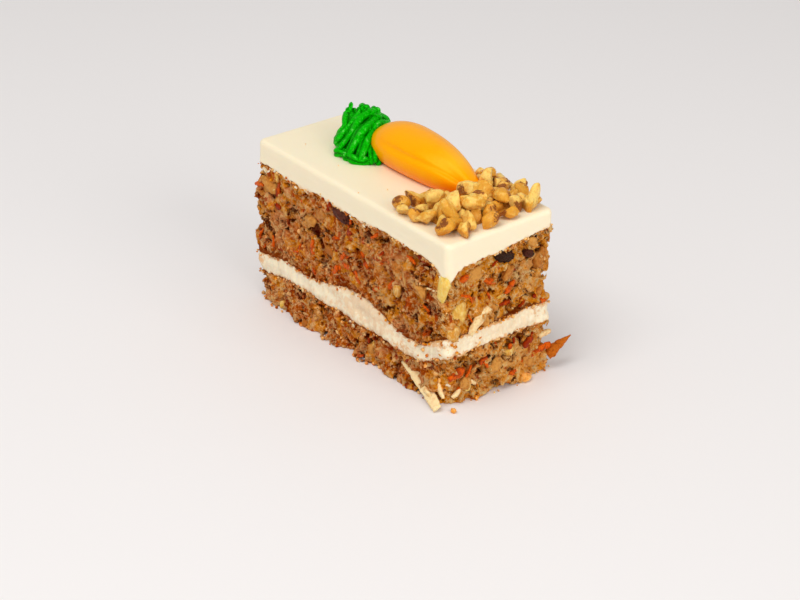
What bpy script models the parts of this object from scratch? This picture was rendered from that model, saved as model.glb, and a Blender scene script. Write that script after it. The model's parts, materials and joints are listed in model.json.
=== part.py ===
"""A slice of carrot cake: two sponge layers with filling and icing, a piped carrot with leaves, and walnuts.

Sizes are in millimetres, and MM turns them into Blender's metres. The nut end of the slice is +X, its long
shown side is -Y, and it stands on Z = 0.
"""

import math
import random

import bmesh
import bpy
from mathutils import Matrix, Vector

MM = 0.001
GOLDEN_ANGLE = math.radians(137.5)
LAYER_GAP = 0.3

# The slice as the knife left it
SLICE_LENGTH = 104
SLICE_WIDTH = 45
SLICE_HEIGHT = 61
CORNER_RADIUS = 2.5
TOP_EDGE_RADIUS = 1.6
TOP_FALL_PER_MM = 0.012
HALF_LENGTH = SLICE_LENGTH / 2
HALF_WIDTH = SLICE_WIDTH / 2

# Heights of the faces where two layers meet
LOWER_THICKNESS = 12.2
LOWER_RISE = 7.8
LOWER_DROP = 3.0
FILLING_TOP = 19.0
FILLING_RISE = 8.0
FILLING_DROP = 1.5
FILLING_HUMP = 5.5
FILLING_HUMP_X = 5
FILLING_HUMP_SPREAD = 16
ICING_FLOOR = 52.5
ICING_CROSS_TILT = 0.11
ICING_DRIP = 4.6
ICING_DRIP_SPREAD = 3.4
RISE_START = 35
RISE_END = 54
LAYER_RIPPLE = 0.32

# How the slice leans and spreads
END_LEAN = 4.5
END_LEAN_Z = 26
END_LEAN_SPREAD = 20
TOE_SPREAD = 3.0
TOE_X = -22
TOE_WIDTH = 26
TOE_HEIGHT = 7
CRUMBLE = 3.0
CRUMBLE_REACH = 7
CRUMBLE_HEIGHT = 12

# Crags of the broken crumb, and the softer waves of the filling's cut edge
CRAG_WAVES = 9
CRAG_HEIGHT = 0.34
CRAG_SHORTEST = 7.5
CRAG_STEP = 1.1
CRUMB_RECESS = 0.5
SPREAD_WAVE = 0.3

# Walnut, fruit and raisin lumps in the crumb: place along the side, height, and radius
LUMP_SHARES = ((0.9, 1.2), (0.7, 0.95), (0.6, 0.8))
LUMP_PROUD = -0.4
UPPER_FRONT_LUMPS = (
    (-47, 44, 3.6),
    (-22, 45, 3.5),
    (-3, 48, 3.0),
    (9, 42, 3.2),
    (-12, 33, 2.8),
    (48, 41, 3.0),
)
UPPER_END_LUMPS = (
    (-9, 46, 3.8),
    (2, 47.5, 3.0),
    (2, 43, 3.0),
    (15, 44.5, 3.4),
    (-14, 33, 4.0),
    (17, 31, 2.2),
)
LOWER_FRONT_LUMPS = ((-40, 5, 2.6), (-18, 6, 2.8), (12, 5.5, 2.8))
LOWER_END_LUMPS = ((-14, 8, 3.0), (-2, 11, 3.0), (14, 6, 2.8))

# A shred of coconut that leans on the long side, and a shred of carrot that sticks out at the far corner
SHRED_STEPS = 5
SHRED_END_TAPER = 0.25
COCONUT_ENDS = ((27, -19.8, 7.6), (50.5, -24.2, 1.6))
COCONUT_ACROSS = (0.2, 0.3, 1)
COCONUT_SECTION = (3.0, 1.2)
CARROT_SHRED_ENDS = ((50, 17.5, 3.0), (54, 30.3, 11.6))
CARROT_SHRED_ACROSS = (-1, 0, 1)
CARROT_SHRED_SECTION = (3.6, 1.5)
SHRED_BEND = 0.5

# How finely a layer is meshed
LONG_STEPS = 28
SHORT_STEPS = 12
CORNER_STEPS = 3
CAP_INSET = 5.0

# The piped carrot, which lies along X on the icing
CARROT_START_X = -21.5
CARROT_END_X = 35.5
CARROT_Y = 6.3
CARROT_HALF_WIDTH = 10.2
CARROT_HEIGHT = 14.2
CARROT_WIDEST = 0.34
CARROT_STATIONS = 18
CARROT_SIDES = 16
CARROT_BELLY = 0.58
CARROT_LIFT = 0.72
CARROT_FOLDS = 5
CARROT_FOLD_DEPTH = 0.05

# The piped leaves: ropes of icing that rise from feet in front of the carrot's wide end and come down behind
LEAF_COUNT = 6
LEAF_FEET_CENTRE = (-20, 2)
LEAF_FEET_REACH = (12.5, 11)
LEAF_FEET_BEARINGS = (204, 327)
LEAF_BACK_CENTRE = (-24.5, 3.5)
LEAF_BACK_REACH = (8.5, 9.5)
LEAF_BACK_BEARINGS = (150, 60)
LEAF_FOOT_HEIGHT = 1.4
LEAF_FIRST_TOP_X = -32.2
LEAF_TOP_PITCH = 3.0
LEAF_TOP_Y = 3.8
LEAF_TOP_FAN = 3.5
LEAF_TOP_HEIGHT = 9.0
LEAF_TOP_FALL = 3.0
LEAF_TOP_CROWN = 2.4
LEAF_RADIUS = 2.3
LEAF_RIDGES = 5
LEAF_RIDGE_DEPTH = 0.2
LEAF_END_SHARE = 0.72
LEAF_STATIONS = 11
LEAF_SIDES = 10
LEAF_HEART_CENTRE = (-24.0, 2.5, 1.5)
LEAF_HEART_SIZE = (8.0, 8.5, 6.5)
LEAF_TIP = (-1.2, 0.6, 5.4)
LEAF_TIP_RADII = (1.9, 1.5, 1.0, 0.45)
LEAVES_WITH_TIPS = (0, 1, 3)

# The chopped walnuts, in a band across the nut end
NUT_SIZE = 2.75
NUT_SHARES = ((0.9, 1.4), (0.75, 1.05), (0.7, 1.0))
NUT_ROWS = 9
NUT_COLUMNS = 6
NUT_FIRST_X = 22.5
NUT_LAST_X = 48.0
NUT_HALF_BAND = 18.6
NUT_BAND_Y = 0.8
NUT_STRAY = 1.5
NUT_LIFT = (1.9, 2.7)
NUT_UPPER_COUNT = 13
NUT_UPPER_STRAY = 7.5
NUT_UPPER_LIFT = (5.4, 6.6)
NUT_CARROT_MARGIN = 0.8
NUT_CORE_HALF_LENGTH = 11.5
NUT_CORE_HEIGHT = 1.7
NUT_SEED = 11


def smooth_step(value, start, end):
    share = min(max((value - start) / (end - start), 0), 1)
    return share * share * (3 - 2 * share)


def bell(value, centre, spread):
    return math.exp(-(((value - centre) / spread) ** 2))


def near_corner(x, y, reach):
    """1 at the nearest vertical edge of the slice, falling away round it."""
    return bell(math.hypot(x - HALF_LENGTH, y + HALF_WIDTH), 0, reach)


def ripple(x, y, pitch):
    return LAYER_RIPPLE * math.sin(x / pitch + y / (2 * pitch))


def filling_floor(x, y):
    rise = LOWER_RISE * smooth_step(x, RISE_START, RISE_END)
    drop = LOWER_DROP * smooth_step(-x, RISE_START, RISE_END)
    return LOWER_THICKNESS + rise - drop + ripple(x, y, 3.6)


def filling_ceiling(x, y):
    rise = FILLING_RISE * smooth_step(x, RISE_START, RISE_END)
    drop = FILLING_DROP * smooth_step(-x, RISE_START, RISE_END)
    hump = FILLING_HUMP * bell(x, FILLING_HUMP_X, FILLING_HUMP_SPREAD)
    return FILLING_TOP + rise - drop + hump + ripple(x, y, 4.3)


def icing_floor(x, y):
    tilt = ICING_CROSS_TILT * y * smooth_step(x, RISE_START, RISE_END)
    drip = ICING_DRIP * near_corner(x, y, ICING_DRIP_SPREAD)
    return ICING_FLOOR + tilt - drip + ripple(x, y, 5.1)


def icing_top(x, y):
    return SLICE_HEIGHT - TOP_FALL_PER_MM * x


def table(x, y):
    return 0


def slump(point):
    """The far end leans out, the long side's foot spreads, and the nearest bottom corner has crumbled."""
    x, y, z = point
    lean = END_LEAN * bell(z, END_LEAN_Z, END_LEAN_SPREAD) * smooth_step(-x, 30, HALF_LENGTH)
    toe = TOE_SPREAD * bell(z, 0, TOE_HEIGHT) * bell(x, TOE_X, TOE_WIDTH) * smooth_step(-y, 10, HALF_WIDTH)
    crumble = CRUMBLE * near_corner(x, y, CRUMBLE_REACH) * bell(z, 0, CRUMBLE_HEIGHT)
    return Vector((x - lean - crumble, y - toe + crumble, z))


def crags(point):
    """How far the broken crumb stands out: waves whose directions and lengths follow the golden angle."""
    total = 0
    for k in range(CRAG_WAVES):
        bearing = k * GOLDEN_ANGLE
        climb = math.sin(2.4 * k)
        direction = Vector((math.cos(bearing), math.sin(bearing), climb)).normalized()
        length = CRAG_SHORTEST + CRAG_STEP * k
        total += math.sin(2 * math.pi * point.dot(direction) / length + k * k)
    return CRAG_HEIGHT * total - CRUMB_RECESS


def spread_face(point):
    """The filling's cut edge is nearly flat."""
    return SPREAD_WAVE * (math.sin(point.x / 2.9 + point.z / 2.1) + math.sin(point.y / 3.3 + point.z))


def cut_face(point):
    return 0


def plan_ring(inset):
    """Points and outward directions round the slice's outline, always as many, anticlockwise from above."""
    half_x = HALF_LENGTH - inset
    half_y = HALF_WIDTH - inset
    radius = max(CORNER_RADIUS - inset, 0)
    ring = []
    sides = (
        (0, LONG_STEPS, half_x - radius, half_y),
        (90, SHORT_STEPS, half_y - radius, half_x),
        (180, LONG_STEPS, half_x - radius, half_y),
        (270, SHORT_STEPS, half_y - radius, half_x),
    )
    for turn, steps, reach, distance in sides:
        rotation = Matrix.Rotation(math.radians(turn), 2)
        for i in range(steps + 1):
            along = -reach + 2 * reach * i / steps
            ring.append((rotation @ Vector((along, -distance)), rotation @ Vector((0, -1))))
        for i in range(1, CORNER_STEPS):
            angle = math.radians(-90 + 90 * i / CORNER_STEPS)
            outward = Vector((math.cos(angle), math.sin(angle)))
            centre = Vector((reach, radius - distance))
            ring.append((rotation @ (centre + radius * outward), rotation @ outward))
    return ring


def bridge(bm, lower, upper, flip):
    """Two triangles between neighbours on two rings. flip turns the diagonal, so that faces can mate."""
    count = len(lower)
    for i in range(count):
        j = (i + 1) % count
        if flip:
            bm.faces.new((lower[i], lower[j], upper[i]))
            bm.faces.new((lower[j], upper[j], upper[i]))
        else:
            bm.faces.new((lower[i], lower[j], upper[j]))
            bm.faces.new((lower[i], upper[j], upper[i]))


def join_rings(bm, rings):
    """A closed skin over a row of rings."""
    for a, b in zip(rings, rings[1:]):
        bridge(bm, a, b, flip=False)
    bm.faces.new(rings[0])
    bm.faces.new(list(reversed(rings[-1])))


def cap_ring(bm, surface, offset, inset):
    ring = []
    for place, _ in plan_ring(inset):
        ring.append(bm.verts.new(Vector((*place, surface(*place) + offset)) * MM))
    return ring


def side_ring(bm, height, face, inset):
    """A ring of the cut side. height gives z at a point of the outline."""
    ring = []
    for place, outward in plan_ring(inset):
        start = Vector((*place, height(*place)))
        shift = face(start) * outward
        moved = slump(start + Vector((*shift, 0)))
        moved.z = height(moved.x, moved.y)
        ring.append(bm.verts.new(moved * MM))
    return ring


def finish_mesh(name, bm):
    bmesh.ops.remove_doubles(bm, verts=bm.verts, dist=1e-7)
    bmesh.ops.recalc_face_normals(bm, faces=bm.faces)
    mesh = bpy.data.meshes.new(name)
    bm.to_mesh(mesh)
    bm.free()
    obj = bpy.data.objects.new(name, mesh)
    bpy.context.scene.collection.objects.link(obj)
    return obj


def layer(name, floor, ceiling, rows, face, round_top=False):
    """One layer of the slice, between two curved faces."""
    bm = bmesh.new()
    below = 0 if floor is table else LAYER_GAP / 2
    above = 0 if ceiling is icing_top else -LAYER_GAP / 2

    def height(share, lift):
        def at(x, y):
            low = floor(x, y) + below
            return low + (ceiling(x, y) + above - low) * share + lift

        return at

    rings = [cap_ring(bm, floor, below, HALF_WIDTH), cap_ring(bm, floor, below, CAP_INSET)]
    last = 1 - TOP_EDGE_RADIUS / (SLICE_HEIGHT - ICING_FLOOR) if round_top else 1
    for row in range(rows + 1):
        meets_layer = (row == 0 and floor is not table) or (row == rows and not round_top)
        row_face = cut_face if meets_layer else face
        rings.append(side_ring(bm, height(last * row / rows, 0), row_face, 0))
    if round_top:
        for angle in (40, 90):
            turn = math.radians(angle)
            drop = TOP_EDGE_RADIUS * (math.sin(turn) - 1)
            pull = TOP_EDGE_RADIUS * (1 - math.cos(turn))
            rings.append(side_ring(bm, height(1, drop), face, pull))
    rings.append(cap_ring(bm, ceiling, above, CAP_INSET))
    rings.append(cap_ring(bm, ceiling, above, HALF_WIDTH))
    for i in range(len(rings) - 1):
        bridge(bm, rings[i], rings[i + 1], flip=i < 2)
    return finish_mesh(name, bm)


def carrot_profile(share):
    """The carrot's width as a share of its widest: blunt beside the leaves, pointed among the nuts."""
    if share < CARROT_WIDEST:
        return math.sqrt(max(1 - (1 - share / CARROT_WIDEST) ** 2, 0))
    return max(1 - ((share - CARROT_WIDEST) / (1 - CARROT_WIDEST)) ** 2.1, 0) ** 0.8


def carrot(name, grow=0.0):
    """The piped carrot. With grow it is a cutter that leaves room round the carrot."""
    bm = bmesh.new()
    rings = []
    for i in range(CARROT_STATIONS + 1):
        share = 0.5 - 0.5 * math.cos(math.pi * i / CARROT_STATIONS)
        size = max(carrot_profile(share), 0.02)
        x = CARROT_START_X - grow + (CARROT_END_X - CARROT_START_X + 2 * grow) * share
        ring = []
        for k in range(CARROT_SIDES):
            angle = 2 * math.pi * k / CARROT_SIDES
            fold = 1 - CARROT_FOLD_DEPTH * smooth_step(share, 0, 1) * math.cos(CARROT_FOLDS * angle)
            y = CARROT_Y + (CARROT_HALF_WIDTH * size * fold + grow) * math.cos(angle)
            half_height = CARROT_HEIGHT * CARROT_BELLY * size**0.85
            rise = half_height * CARROT_LIFT + (half_height * fold + grow) * math.sin(angle)
            base = icing_top(x, y) + LAYER_GAP
            ring.append(bm.verts.new(Vector((x, y, base + max(rise, -2 * grow))) * MM))
        rings.append(ring)
    join_rings(bm, rings)
    return finish_mesh(name, bm)


def tube(path, radii, sides, ridges, ridge_depth):
    """A rope of icing along a path, fluted by the nozzle, with closed ends."""
    bm = bmesh.new()
    rings = []
    for i, (centre, radius) in enumerate(zip(path, radii)):
        ahead = path[min(i + 1, len(path) - 1)]
        behind = path[max(i - 1, 0)]
        frame = (ahead - behind).to_track_quat("Z", "Y").to_matrix()
        ring = []
        for k in range(sides):
            angle = 2 * math.pi * k / sides
            flute = radius * (1 + ridge_depth * math.cos(ridges * angle))
            offset = frame @ Vector((math.cos(angle), math.sin(angle), 0)) * flute
            ring.append(bm.verts.new((centre + offset) * MM))
        rings.append(ring)
    join_rings(bm, rings)
    return bm


def chunk(name, centre, radius, shares, generator):
    """One broken lump: an uneven ball, squeezed along its own axes and turned."""
    bm = bmesh.new()
    bmesh.ops.create_icosphere(bm, subdivisions=1, radius=radius)
    size = [generator.uniform(*share) for share in shares]
    turn = Matrix.Rotation(generator.uniform(0, math.tau), 3, "Z")
    tip = Matrix.Rotation(generator.uniform(-0.9, 0.9), 3, "Y")
    for vert in bm.verts:
        rough = generator.uniform(0.82, 1.15)
        squeezed = Vector([c * share * rough for c, share in zip(vert.co, size)])
        vert.co = (centre + turn @ tip @ squeezed) * MM
    return finish_mesh(name, bm)


def shred(name, ends, across, section):
    """A shred of coconut or carrot, slightly bent and square in section."""
    bm = bmesh.new()
    start, end = (Vector(corner) for corner in ends)
    along = (end - start).normalized()
    side = (Vector(across) - along * along.dot(Vector(across))).normalized()
    normal = along.cross(side)
    rings = []
    for i in range(SHRED_STEPS + 1):
        share = i / SHRED_STEPS
        belly = math.sin(math.pi * share)
        centre = start.lerp(end, share) + normal * SHRED_BEND * belly
        half_width = section[0] / 2 * (1 - SHRED_END_TAPER * (1 - belly))
        ring = []
        for u, v in ((-1, -1), (1, -1), (1, 1), (-1, 1)):
            point = centre + side * u * half_width + normal * v * section[1] / 2
            ring.append(bm.verts.new(point * MM))
        rings.append(ring)
    join_rings(bm, rings)
    return finish_mesh(name, bm)


def apply_boolean(target, operation, others, solver="EXACT"):
    """Joins or cuts with every object of a collection in one step, applies it, and removes those objects."""
    group = bpy.data.collections.new("operands")
    bpy.context.scene.collection.children.link(group)
    for other in others:
        bpy.context.scene.collection.objects.unlink(other)
        group.objects.link(other)
    modifier = target.modifiers.new("join", "BOOLEAN")
    modifier.operation = operation
    modifier.solver = solver
    modifier.operand_type = "COLLECTION"
    modifier.collection = group
    bpy.context.view_layer.update()
    graph = bpy.context.evaluated_depsgraph_get()
    result = bpy.data.meshes.new_from_object(target.evaluated_get(graph))
    target.modifiers.clear()
    target.data = result
    for other in others:
        bpy.data.objects.remove(other)
    bpy.data.collections.remove(group)


def keep_largest_body(obj):
    """Drops loose scraps and the inner shells of hollows that a union has sealed."""
    bm = bmesh.new()
    bm.from_mesh(obj.data)
    bmesh.ops.remove_doubles(bm, verts=bm.verts, dist=1e-7)
    left = set(bm.verts)
    bodies = []
    while left:
        body = {left.pop()}
        front = list(body)
        while front:
            vert = front.pop()
            for edge in vert.link_edges:
                other = edge.other_vert(vert)
                if other not in body:
                    body.add(other)
                    front.append(other)
        left -= body
        bodies.append(body)
    bodies.sort(key=len, reverse=True)
    for body in bodies[1:]:
        bmesh.ops.delete(bm, geom=list(body), context="VERTS")
    bmesh.ops.triangulate(bm, faces=bm.faces)
    bm.to_mesh(obj.data)
    bm.free()


def lumps(front_places, end_places, seed):
    """Lumps that show in the crumb, on the long side's cut and on the nut end's."""
    generator = random.Random(seed)
    centres = []
    for x, z, radius in front_places:
        centres.append((slump(Vector((x, -HALF_WIDTH - LUMP_PROUD, z))), radius))
    for y, z, radius in end_places:
        centres.append((slump(Vector((HALF_LENGTH + LUMP_PROUD, y, z))), radius))
    made = []
    for number, (centre, radius) in enumerate(centres):
        made.append(chunk(f"lump_{number}", centre, radius, LUMP_SHARES, generator))
    return made


def sponge_upper():
    cake = layer("sponge_upper", filling_ceiling, icing_floor, 9, crags)
    apply_boolean(cake, "UNION", lumps(UPPER_FRONT_LUMPS, UPPER_END_LUMPS, 3))
    keep_largest_body(cake)
    return cake


def sponge_lower():
    cake = layer("sponge_lower", table, filling_floor, 5, crags)
    parts = lumps(LOWER_FRONT_LUMPS, LOWER_END_LUMPS, 5)
    parts.append(shred("coconut", COCONUT_ENDS, COCONUT_ACROSS, COCONUT_SECTION))
    parts.append(shred("carrot_shred", CARROT_SHRED_ENDS, CARROT_SHRED_ACROSS, CARROT_SHRED_SECTION))
    apply_boolean(cake, "UNION", parts)
    keep_largest_body(cake)
    return cake


def on_ellipse(centre, reach, bearings, share):
    angle = math.radians(bearings[0] + (bearings[1] - bearings[0]) * share)
    return centre[0] + reach[0] * math.cos(angle), centre[1] + reach[1] * math.sin(angle)


def on_icing(x, y, height):
    return Vector((x, y, icing_top(x, y) + height))


def leaf_path(number):
    """One rope, from its foot in front, over its top, to its foot behind: a parabola through the three."""
    share = number / (LEAF_COUNT - 1)
    foot = on_ellipse(LEAF_FEET_CENTRE, LEAF_FEET_REACH, LEAF_FEET_BEARINGS, share)
    heel = on_ellipse(LEAF_BACK_CENTRE, LEAF_BACK_REACH, LEAF_BACK_BEARINGS, share)
    front = on_icing(*foot, LEAF_FOOT_HEIGHT)
    back = on_icing(*heel, LEAF_FOOT_HEIGHT)
    crown = math.sin(math.pi * share)
    top_height = LEAF_TOP_HEIGHT - LEAF_TOP_FALL * share + LEAF_TOP_CROWN * crown
    top_x = LEAF_FIRST_TOP_X + LEAF_TOP_PITCH * number
    top = on_icing(top_x, LEAF_TOP_Y + LEAF_TOP_FAN * crown, top_height)
    control = 2 * top - (front + back) / 2
    path = []
    for i in range(LEAF_STATIONS):
        t = i / (LEAF_STATIONS - 1)
        path.append(front * (1 - t) ** 2 + control * 2 * t * (1 - t) + back * t**2)
    return path


def leaf_radii():
    """A rope is full at its middle and narrows to both feet."""
    radii = []
    for i in range(LEAF_STATIONS):
        t = i / (LEAF_STATIONS - 1)
        radii.append(LEAF_RADIUS * (LEAF_END_SHARE + (1 - LEAF_END_SHARE) * math.sin(math.pi * t)))
    return radii


def leaf_heart():
    """The body of icing that the ropes lie on."""
    heart = bmesh.new()
    bmesh.ops.create_icosphere(heart, subdivisions=2, radius=1)
    middle = on_icing(*LEAF_HEART_CENTRE)
    for vert in heart.verts:
        vert.co = (middle + Vector([c * size for c, size in zip(vert.co, LEAF_HEART_SIZE)])) * MM
    return finish_mesh("carrot_leaves", heart)


def leaves():
    """Ropes, with a pulled tip where the nozzle left some of them, cut to fit the carrot and the icing."""
    pieces = []
    for number in range(LEAF_COUNT):
        path = leaf_path(number)
        rope = tube(path, leaf_radii(), LEAF_SIDES, LEAF_RIDGES, LEAF_RIDGE_DEPTH)
        pieces.append(finish_mesh(f"rope_{number}", rope))
        if number in LEAVES_WITH_TIPS:
            root = path[LEAF_STATIONS // 2] - Vector((0, 0, 1))
            steps = [root + Vector(LEAF_TIP) * t for t in (0, 0.35, 0.7, 1)]
            tip = tube(steps, LEAF_TIP_RADII, LEAF_SIDES, LEAF_RIDGES, LEAF_RIDGE_DEPTH)
            pieces.append(finish_mesh(f"tip_{number}", tip))
    body = leaf_heart()
    apply_boolean(body, "UNION", pieces, "MANIFOLD")
    room = [carrot("room_for_carrot", LAYER_GAP), block_below_toppings()]
    apply_boolean(body, "DIFFERENCE", room, "MANIFOLD")
    keep_largest_body(body)
    return body


def block_below_toppings():
    """A cutter whose sloping top is just above the icing."""
    bm = bmesh.new()
    reach = SLICE_LENGTH
    corners = []
    for z_is_top in (False, True):
        for x, y in ((-reach, -reach), (reach, -reach), (reach, reach), (-reach, reach)):
            z = icing_top(x, y) + LAYER_GAP if z_is_top else 0
            corners.append(bm.verts.new(Vector((x, y, z)) * MM))
    for face in ((3, 2, 1, 0), (4, 5, 6, 7), (0, 1, 5, 4), (1, 2, 6, 5), (2, 3, 7, 6), (3, 0, 4, 7)):
        bm.faces.new([corners[i] for i in face])
    return finish_mesh("block_below", bm)


def under_carrot(x, y):
    """Whether a lump at this place would stand in the piped carrot."""
    share = (x - CARROT_START_X) / (CARROT_END_X - CARROT_START_X)
    if share < 0 or share > 1:
        return False
    return abs(y - CARROT_Y) < CARROT_HALF_WIDTH * carrot_profile(share) + NUT_CARROT_MARGIN


def nut_places(generator):
    """Lumps in rows across the nut end, alternate rows shifted by half a lump, and a few more on top."""
    for row in range(NUT_ROWS):
        across = NUT_BAND_Y - NUT_HALF_BAND + 2 * NUT_HALF_BAND * row / (NUT_ROWS - 1)
        for column in range(NUT_COLUMNS):
            share = (column + 0.5 * (row % 2)) / (NUT_COLUMNS - 0.5)
            along = NUT_FIRST_X + (NUT_LAST_X - NUT_FIRST_X) * share
            x = along + generator.uniform(-NUT_STRAY, NUT_STRAY)
            y = across + generator.uniform(-NUT_STRAY, NUT_STRAY)
            height = generator.uniform(*NUT_LIFT)
            if not under_carrot(x, y):
                yield on_icing(x, y, height)
    for step in range(NUT_UPPER_COUNT):
        share = (step + 0.5) / NUT_UPPER_COUNT
        x = (NUT_FIRST_X + NUT_LAST_X) / 2 + generator.uniform(-NUT_UPPER_STRAY, NUT_UPPER_STRAY)
        y = NUT_BAND_Y + NUT_HALF_BAND * 0.8 * (2 * share - 1)
        height = generator.uniform(*NUT_UPPER_LIFT)
        if not under_carrot(x, y):
            yield on_icing(x, y, height)


def nut_core():
    """The hidden middle of the heap, which every lump is sunk into."""
    core = bmesh.new()
    size = (2 * NUT_CORE_HALF_LENGTH, 2 * NUT_HALF_BAND - 2, 2 * NUT_CORE_HEIGHT)
    bmesh.ops.create_cube(core, size=1)
    middle = on_icing((NUT_FIRST_X + NUT_LAST_X) / 2, NUT_BAND_Y, 0)
    for vert in core.verts:
        vert.co = (middle + Vector([c * reach for c, reach in zip(vert.co, size)])) * MM
    return finish_mesh("walnut_pieces", core)


def walnuts():
    generator = random.Random(NUT_SEED)
    heap = nut_core()
    pieces = []
    for number, place in enumerate(nut_places(generator)):
        pieces.append(chunk(f"nut_{number}", place, NUT_SIZE, NUT_SHARES, generator))
    apply_boolean(heap, "UNION", pieces)
    apply_boolean(heap, "DIFFERENCE", [carrot("room_for_tip", LAYER_GAP), block_below_toppings()])
    keep_largest_body(heap)
    return heap


def material(name, colour, roughness):
    made = bpy.data.materials.new(name)
    made.use_nodes = True
    shader = made.node_tree.nodes["Principled BSDF"]
    shader.inputs["Base Color"].default_value = (*colour, 1)
    shader.inputs["Roughness"].default_value = roughness
    shader.inputs["Metallic"].default_value = 0
    return made


def dress(obj, paint):
    obj.data.materials.clear()
    obj.data.materials.append(paint)


def main():
    for obj in list(bpy.data.objects):
        bpy.data.objects.remove(obj)
    crumb = material("carrot_crumb", (0.40, 0.17, 0.06), 0.85)
    cream = material("cream_cheese_icing", (0.86, 0.76, 0.58), 0.55)
    orange = material("orange_icing", (0.95, 0.38, 0.01), 0.30)
    green = material("green_icing", (0.01, 0.40, 0.02), 0.28)
    walnut = material("chopped_walnut", (0.62, 0.36, 0.12), 0.55)
    dress(sponge_lower(), crumb)
    dress(layer("filling", filling_floor, filling_ceiling, 3, spread_face), cream)
    dress(sponge_upper(), crumb)
    dress(layer("icing_top", icing_floor, icing_top, 3, cut_face, round_top=True), cream)
    dress(carrot("piped_carrot"), orange)
    dress(leaves(), green)
    dress(walnuts(), walnut)


main()
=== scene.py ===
"""The looks of a slice of carrot cake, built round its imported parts.

Sizes are in millimetres, and MM turns them into Blender's metres. The nut end of the slice is +X, its long
shown side is -Y, and it stands on Z = 0.
"""

import json
import math
import random

import bmesh
import bpy
import numpy as np
from bpy.props import FloatProperty, FloatVectorProperty, IntProperty, PointerProperty
from mathutils import Matrix, Vector, noise

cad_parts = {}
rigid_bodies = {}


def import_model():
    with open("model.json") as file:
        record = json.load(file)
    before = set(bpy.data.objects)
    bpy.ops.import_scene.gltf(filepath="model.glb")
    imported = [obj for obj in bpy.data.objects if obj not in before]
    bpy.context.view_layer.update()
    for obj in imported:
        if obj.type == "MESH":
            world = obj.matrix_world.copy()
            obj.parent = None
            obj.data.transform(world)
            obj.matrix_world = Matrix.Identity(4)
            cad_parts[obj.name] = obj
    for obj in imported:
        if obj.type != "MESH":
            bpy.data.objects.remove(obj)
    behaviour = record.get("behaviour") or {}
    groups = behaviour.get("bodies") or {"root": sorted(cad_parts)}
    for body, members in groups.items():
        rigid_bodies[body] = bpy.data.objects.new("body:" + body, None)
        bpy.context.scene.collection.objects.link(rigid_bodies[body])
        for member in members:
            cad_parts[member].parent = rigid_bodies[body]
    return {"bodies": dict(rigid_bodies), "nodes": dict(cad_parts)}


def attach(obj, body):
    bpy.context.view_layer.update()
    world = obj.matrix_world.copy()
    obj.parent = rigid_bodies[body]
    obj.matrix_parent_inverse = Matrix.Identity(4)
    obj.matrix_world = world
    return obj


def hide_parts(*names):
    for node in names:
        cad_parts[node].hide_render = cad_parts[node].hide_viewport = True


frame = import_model()

bl_info = {
    "name": "Carrot Cake Slice",
    "version": (1, 0, 0),
    "blender": (4, 5, 0),
    "location": "View3D > Sidebar > Cake",
    "description": "A slice of carrot cake with filling, icing, a piped carrot and chopped walnuts",
    "category": "Add Mesh",
}

MM = 0.001
GOLDEN_ANGLE = math.radians(137.5)

# The slice as the knife left it
HALF_LENGTH = 52
HALF_WIDTH = 22.5
SLICE_HEIGHT = 61
CORNER_RADIUS = 2.5
TOP_EDGE_RADIUS = 1.6
TOP_FALL_PER_MM = 0.012

# Heights of the faces where two layers meet
LOWER_THICKNESS = 12.2
LOWER_RISE = 7.8
LOWER_DROP = 3.0
FILLING_TOP = 19.0
FILLING_RISE = 8.0
FILLING_DROP = 1.5
FILLING_HUMP = 5.5
FILLING_HUMP_X = 5
FILLING_HUMP_SPREAD = 16
ICING_FLOOR = 52.5
ICING_CROSS_TILT = 0.11
ICING_DRIP = 4.6
ICING_DRIP_SPREAD = 3.4
RISE_START = 35
RISE_END = 54
LAYER_RIPPLE = 0.32

# How the slice leans and spreads
END_LEAN = 4.5
END_LEAN_Z = 26
END_LEAN_SPREAD = 20
TOE_SPREAD = 3.0
TOE_X = -22
TOE_WIDTH = 26
TOE_HEIGHT = 7
CRUMBLE = 3.0
CRUMBLE_REACH = 7
CRUMBLE_HEIGHT = 12

# Crags of the broken crumb
CRAG_WAVES = 9
CRAG_HEIGHT = 0.34
CRAG_SHORTEST = 7.5
CRAG_STEP = 1.1
CRUMB_RECESS = 0.5

# The piped carrot, which lies along X on the icing
CARROT_START_X = -21.5
CARROT_END_X = 35.5
CARROT_Y = 6.3
CARROT_HALF_WIDTH = 10.2
CARROT_HEIGHT = 14.2
CARROT_WIDEST = 0.34
CARROT_BELLY = 0.58
CARROT_LIFT = 0.72

# The piped leaves
LEAF_COUNT = 6
LEAF_FEET_CENTRE = (-20, 2)
LEAF_FEET_REACH = (12.5, 11)
LEAF_FEET_BEARINGS = (204, 327)
LEAF_BACK_CENTRE = (-24.5, 3.5)
LEAF_BACK_REACH = (8.5, 9.5)
LEAF_BACK_BEARINGS = (150, 60)
LEAF_FOOT_HEIGHT = 1.4
LEAF_FIRST_TOP_X = -32.2
LEAF_TOP_PITCH = 3.0
LEAF_TOP_Y = 3.8
LEAF_TOP_FAN = 3.5
LEAF_TOP_HEIGHT = 9.0
LEAF_TOP_FALL = 3.0
LEAF_TOP_CROWN = 2.4

# The chopped walnuts, in a band across the nut end
NUT_SIZE = 2.75
NUT_SHARES = ((0.9, 1.4), (0.75, 1.05), (0.7, 1.0))
NUT_ROWS = 9
NUT_COLUMNS = 6
NUT_FIRST_X = 22.5
NUT_LAST_X = 48.0
NUT_HALF_BAND = 18.6
NUT_BAND_Y = 0.8
NUT_STRAY = 1.5
NUT_LIFT = (1.9, 2.7)
NUT_UPPER_COUNT = 13
NUT_UPPER_STRAY = 7.5
NUT_UPPER_LIFT = (5.4, 6.6)
NUT_CARROT_MARGIN = 0.8
NUT_CORE_HALF_LENGTH = 11.5
NUT_CORE_HEIGHT = 1.7
NUT_SEED = 11


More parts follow.
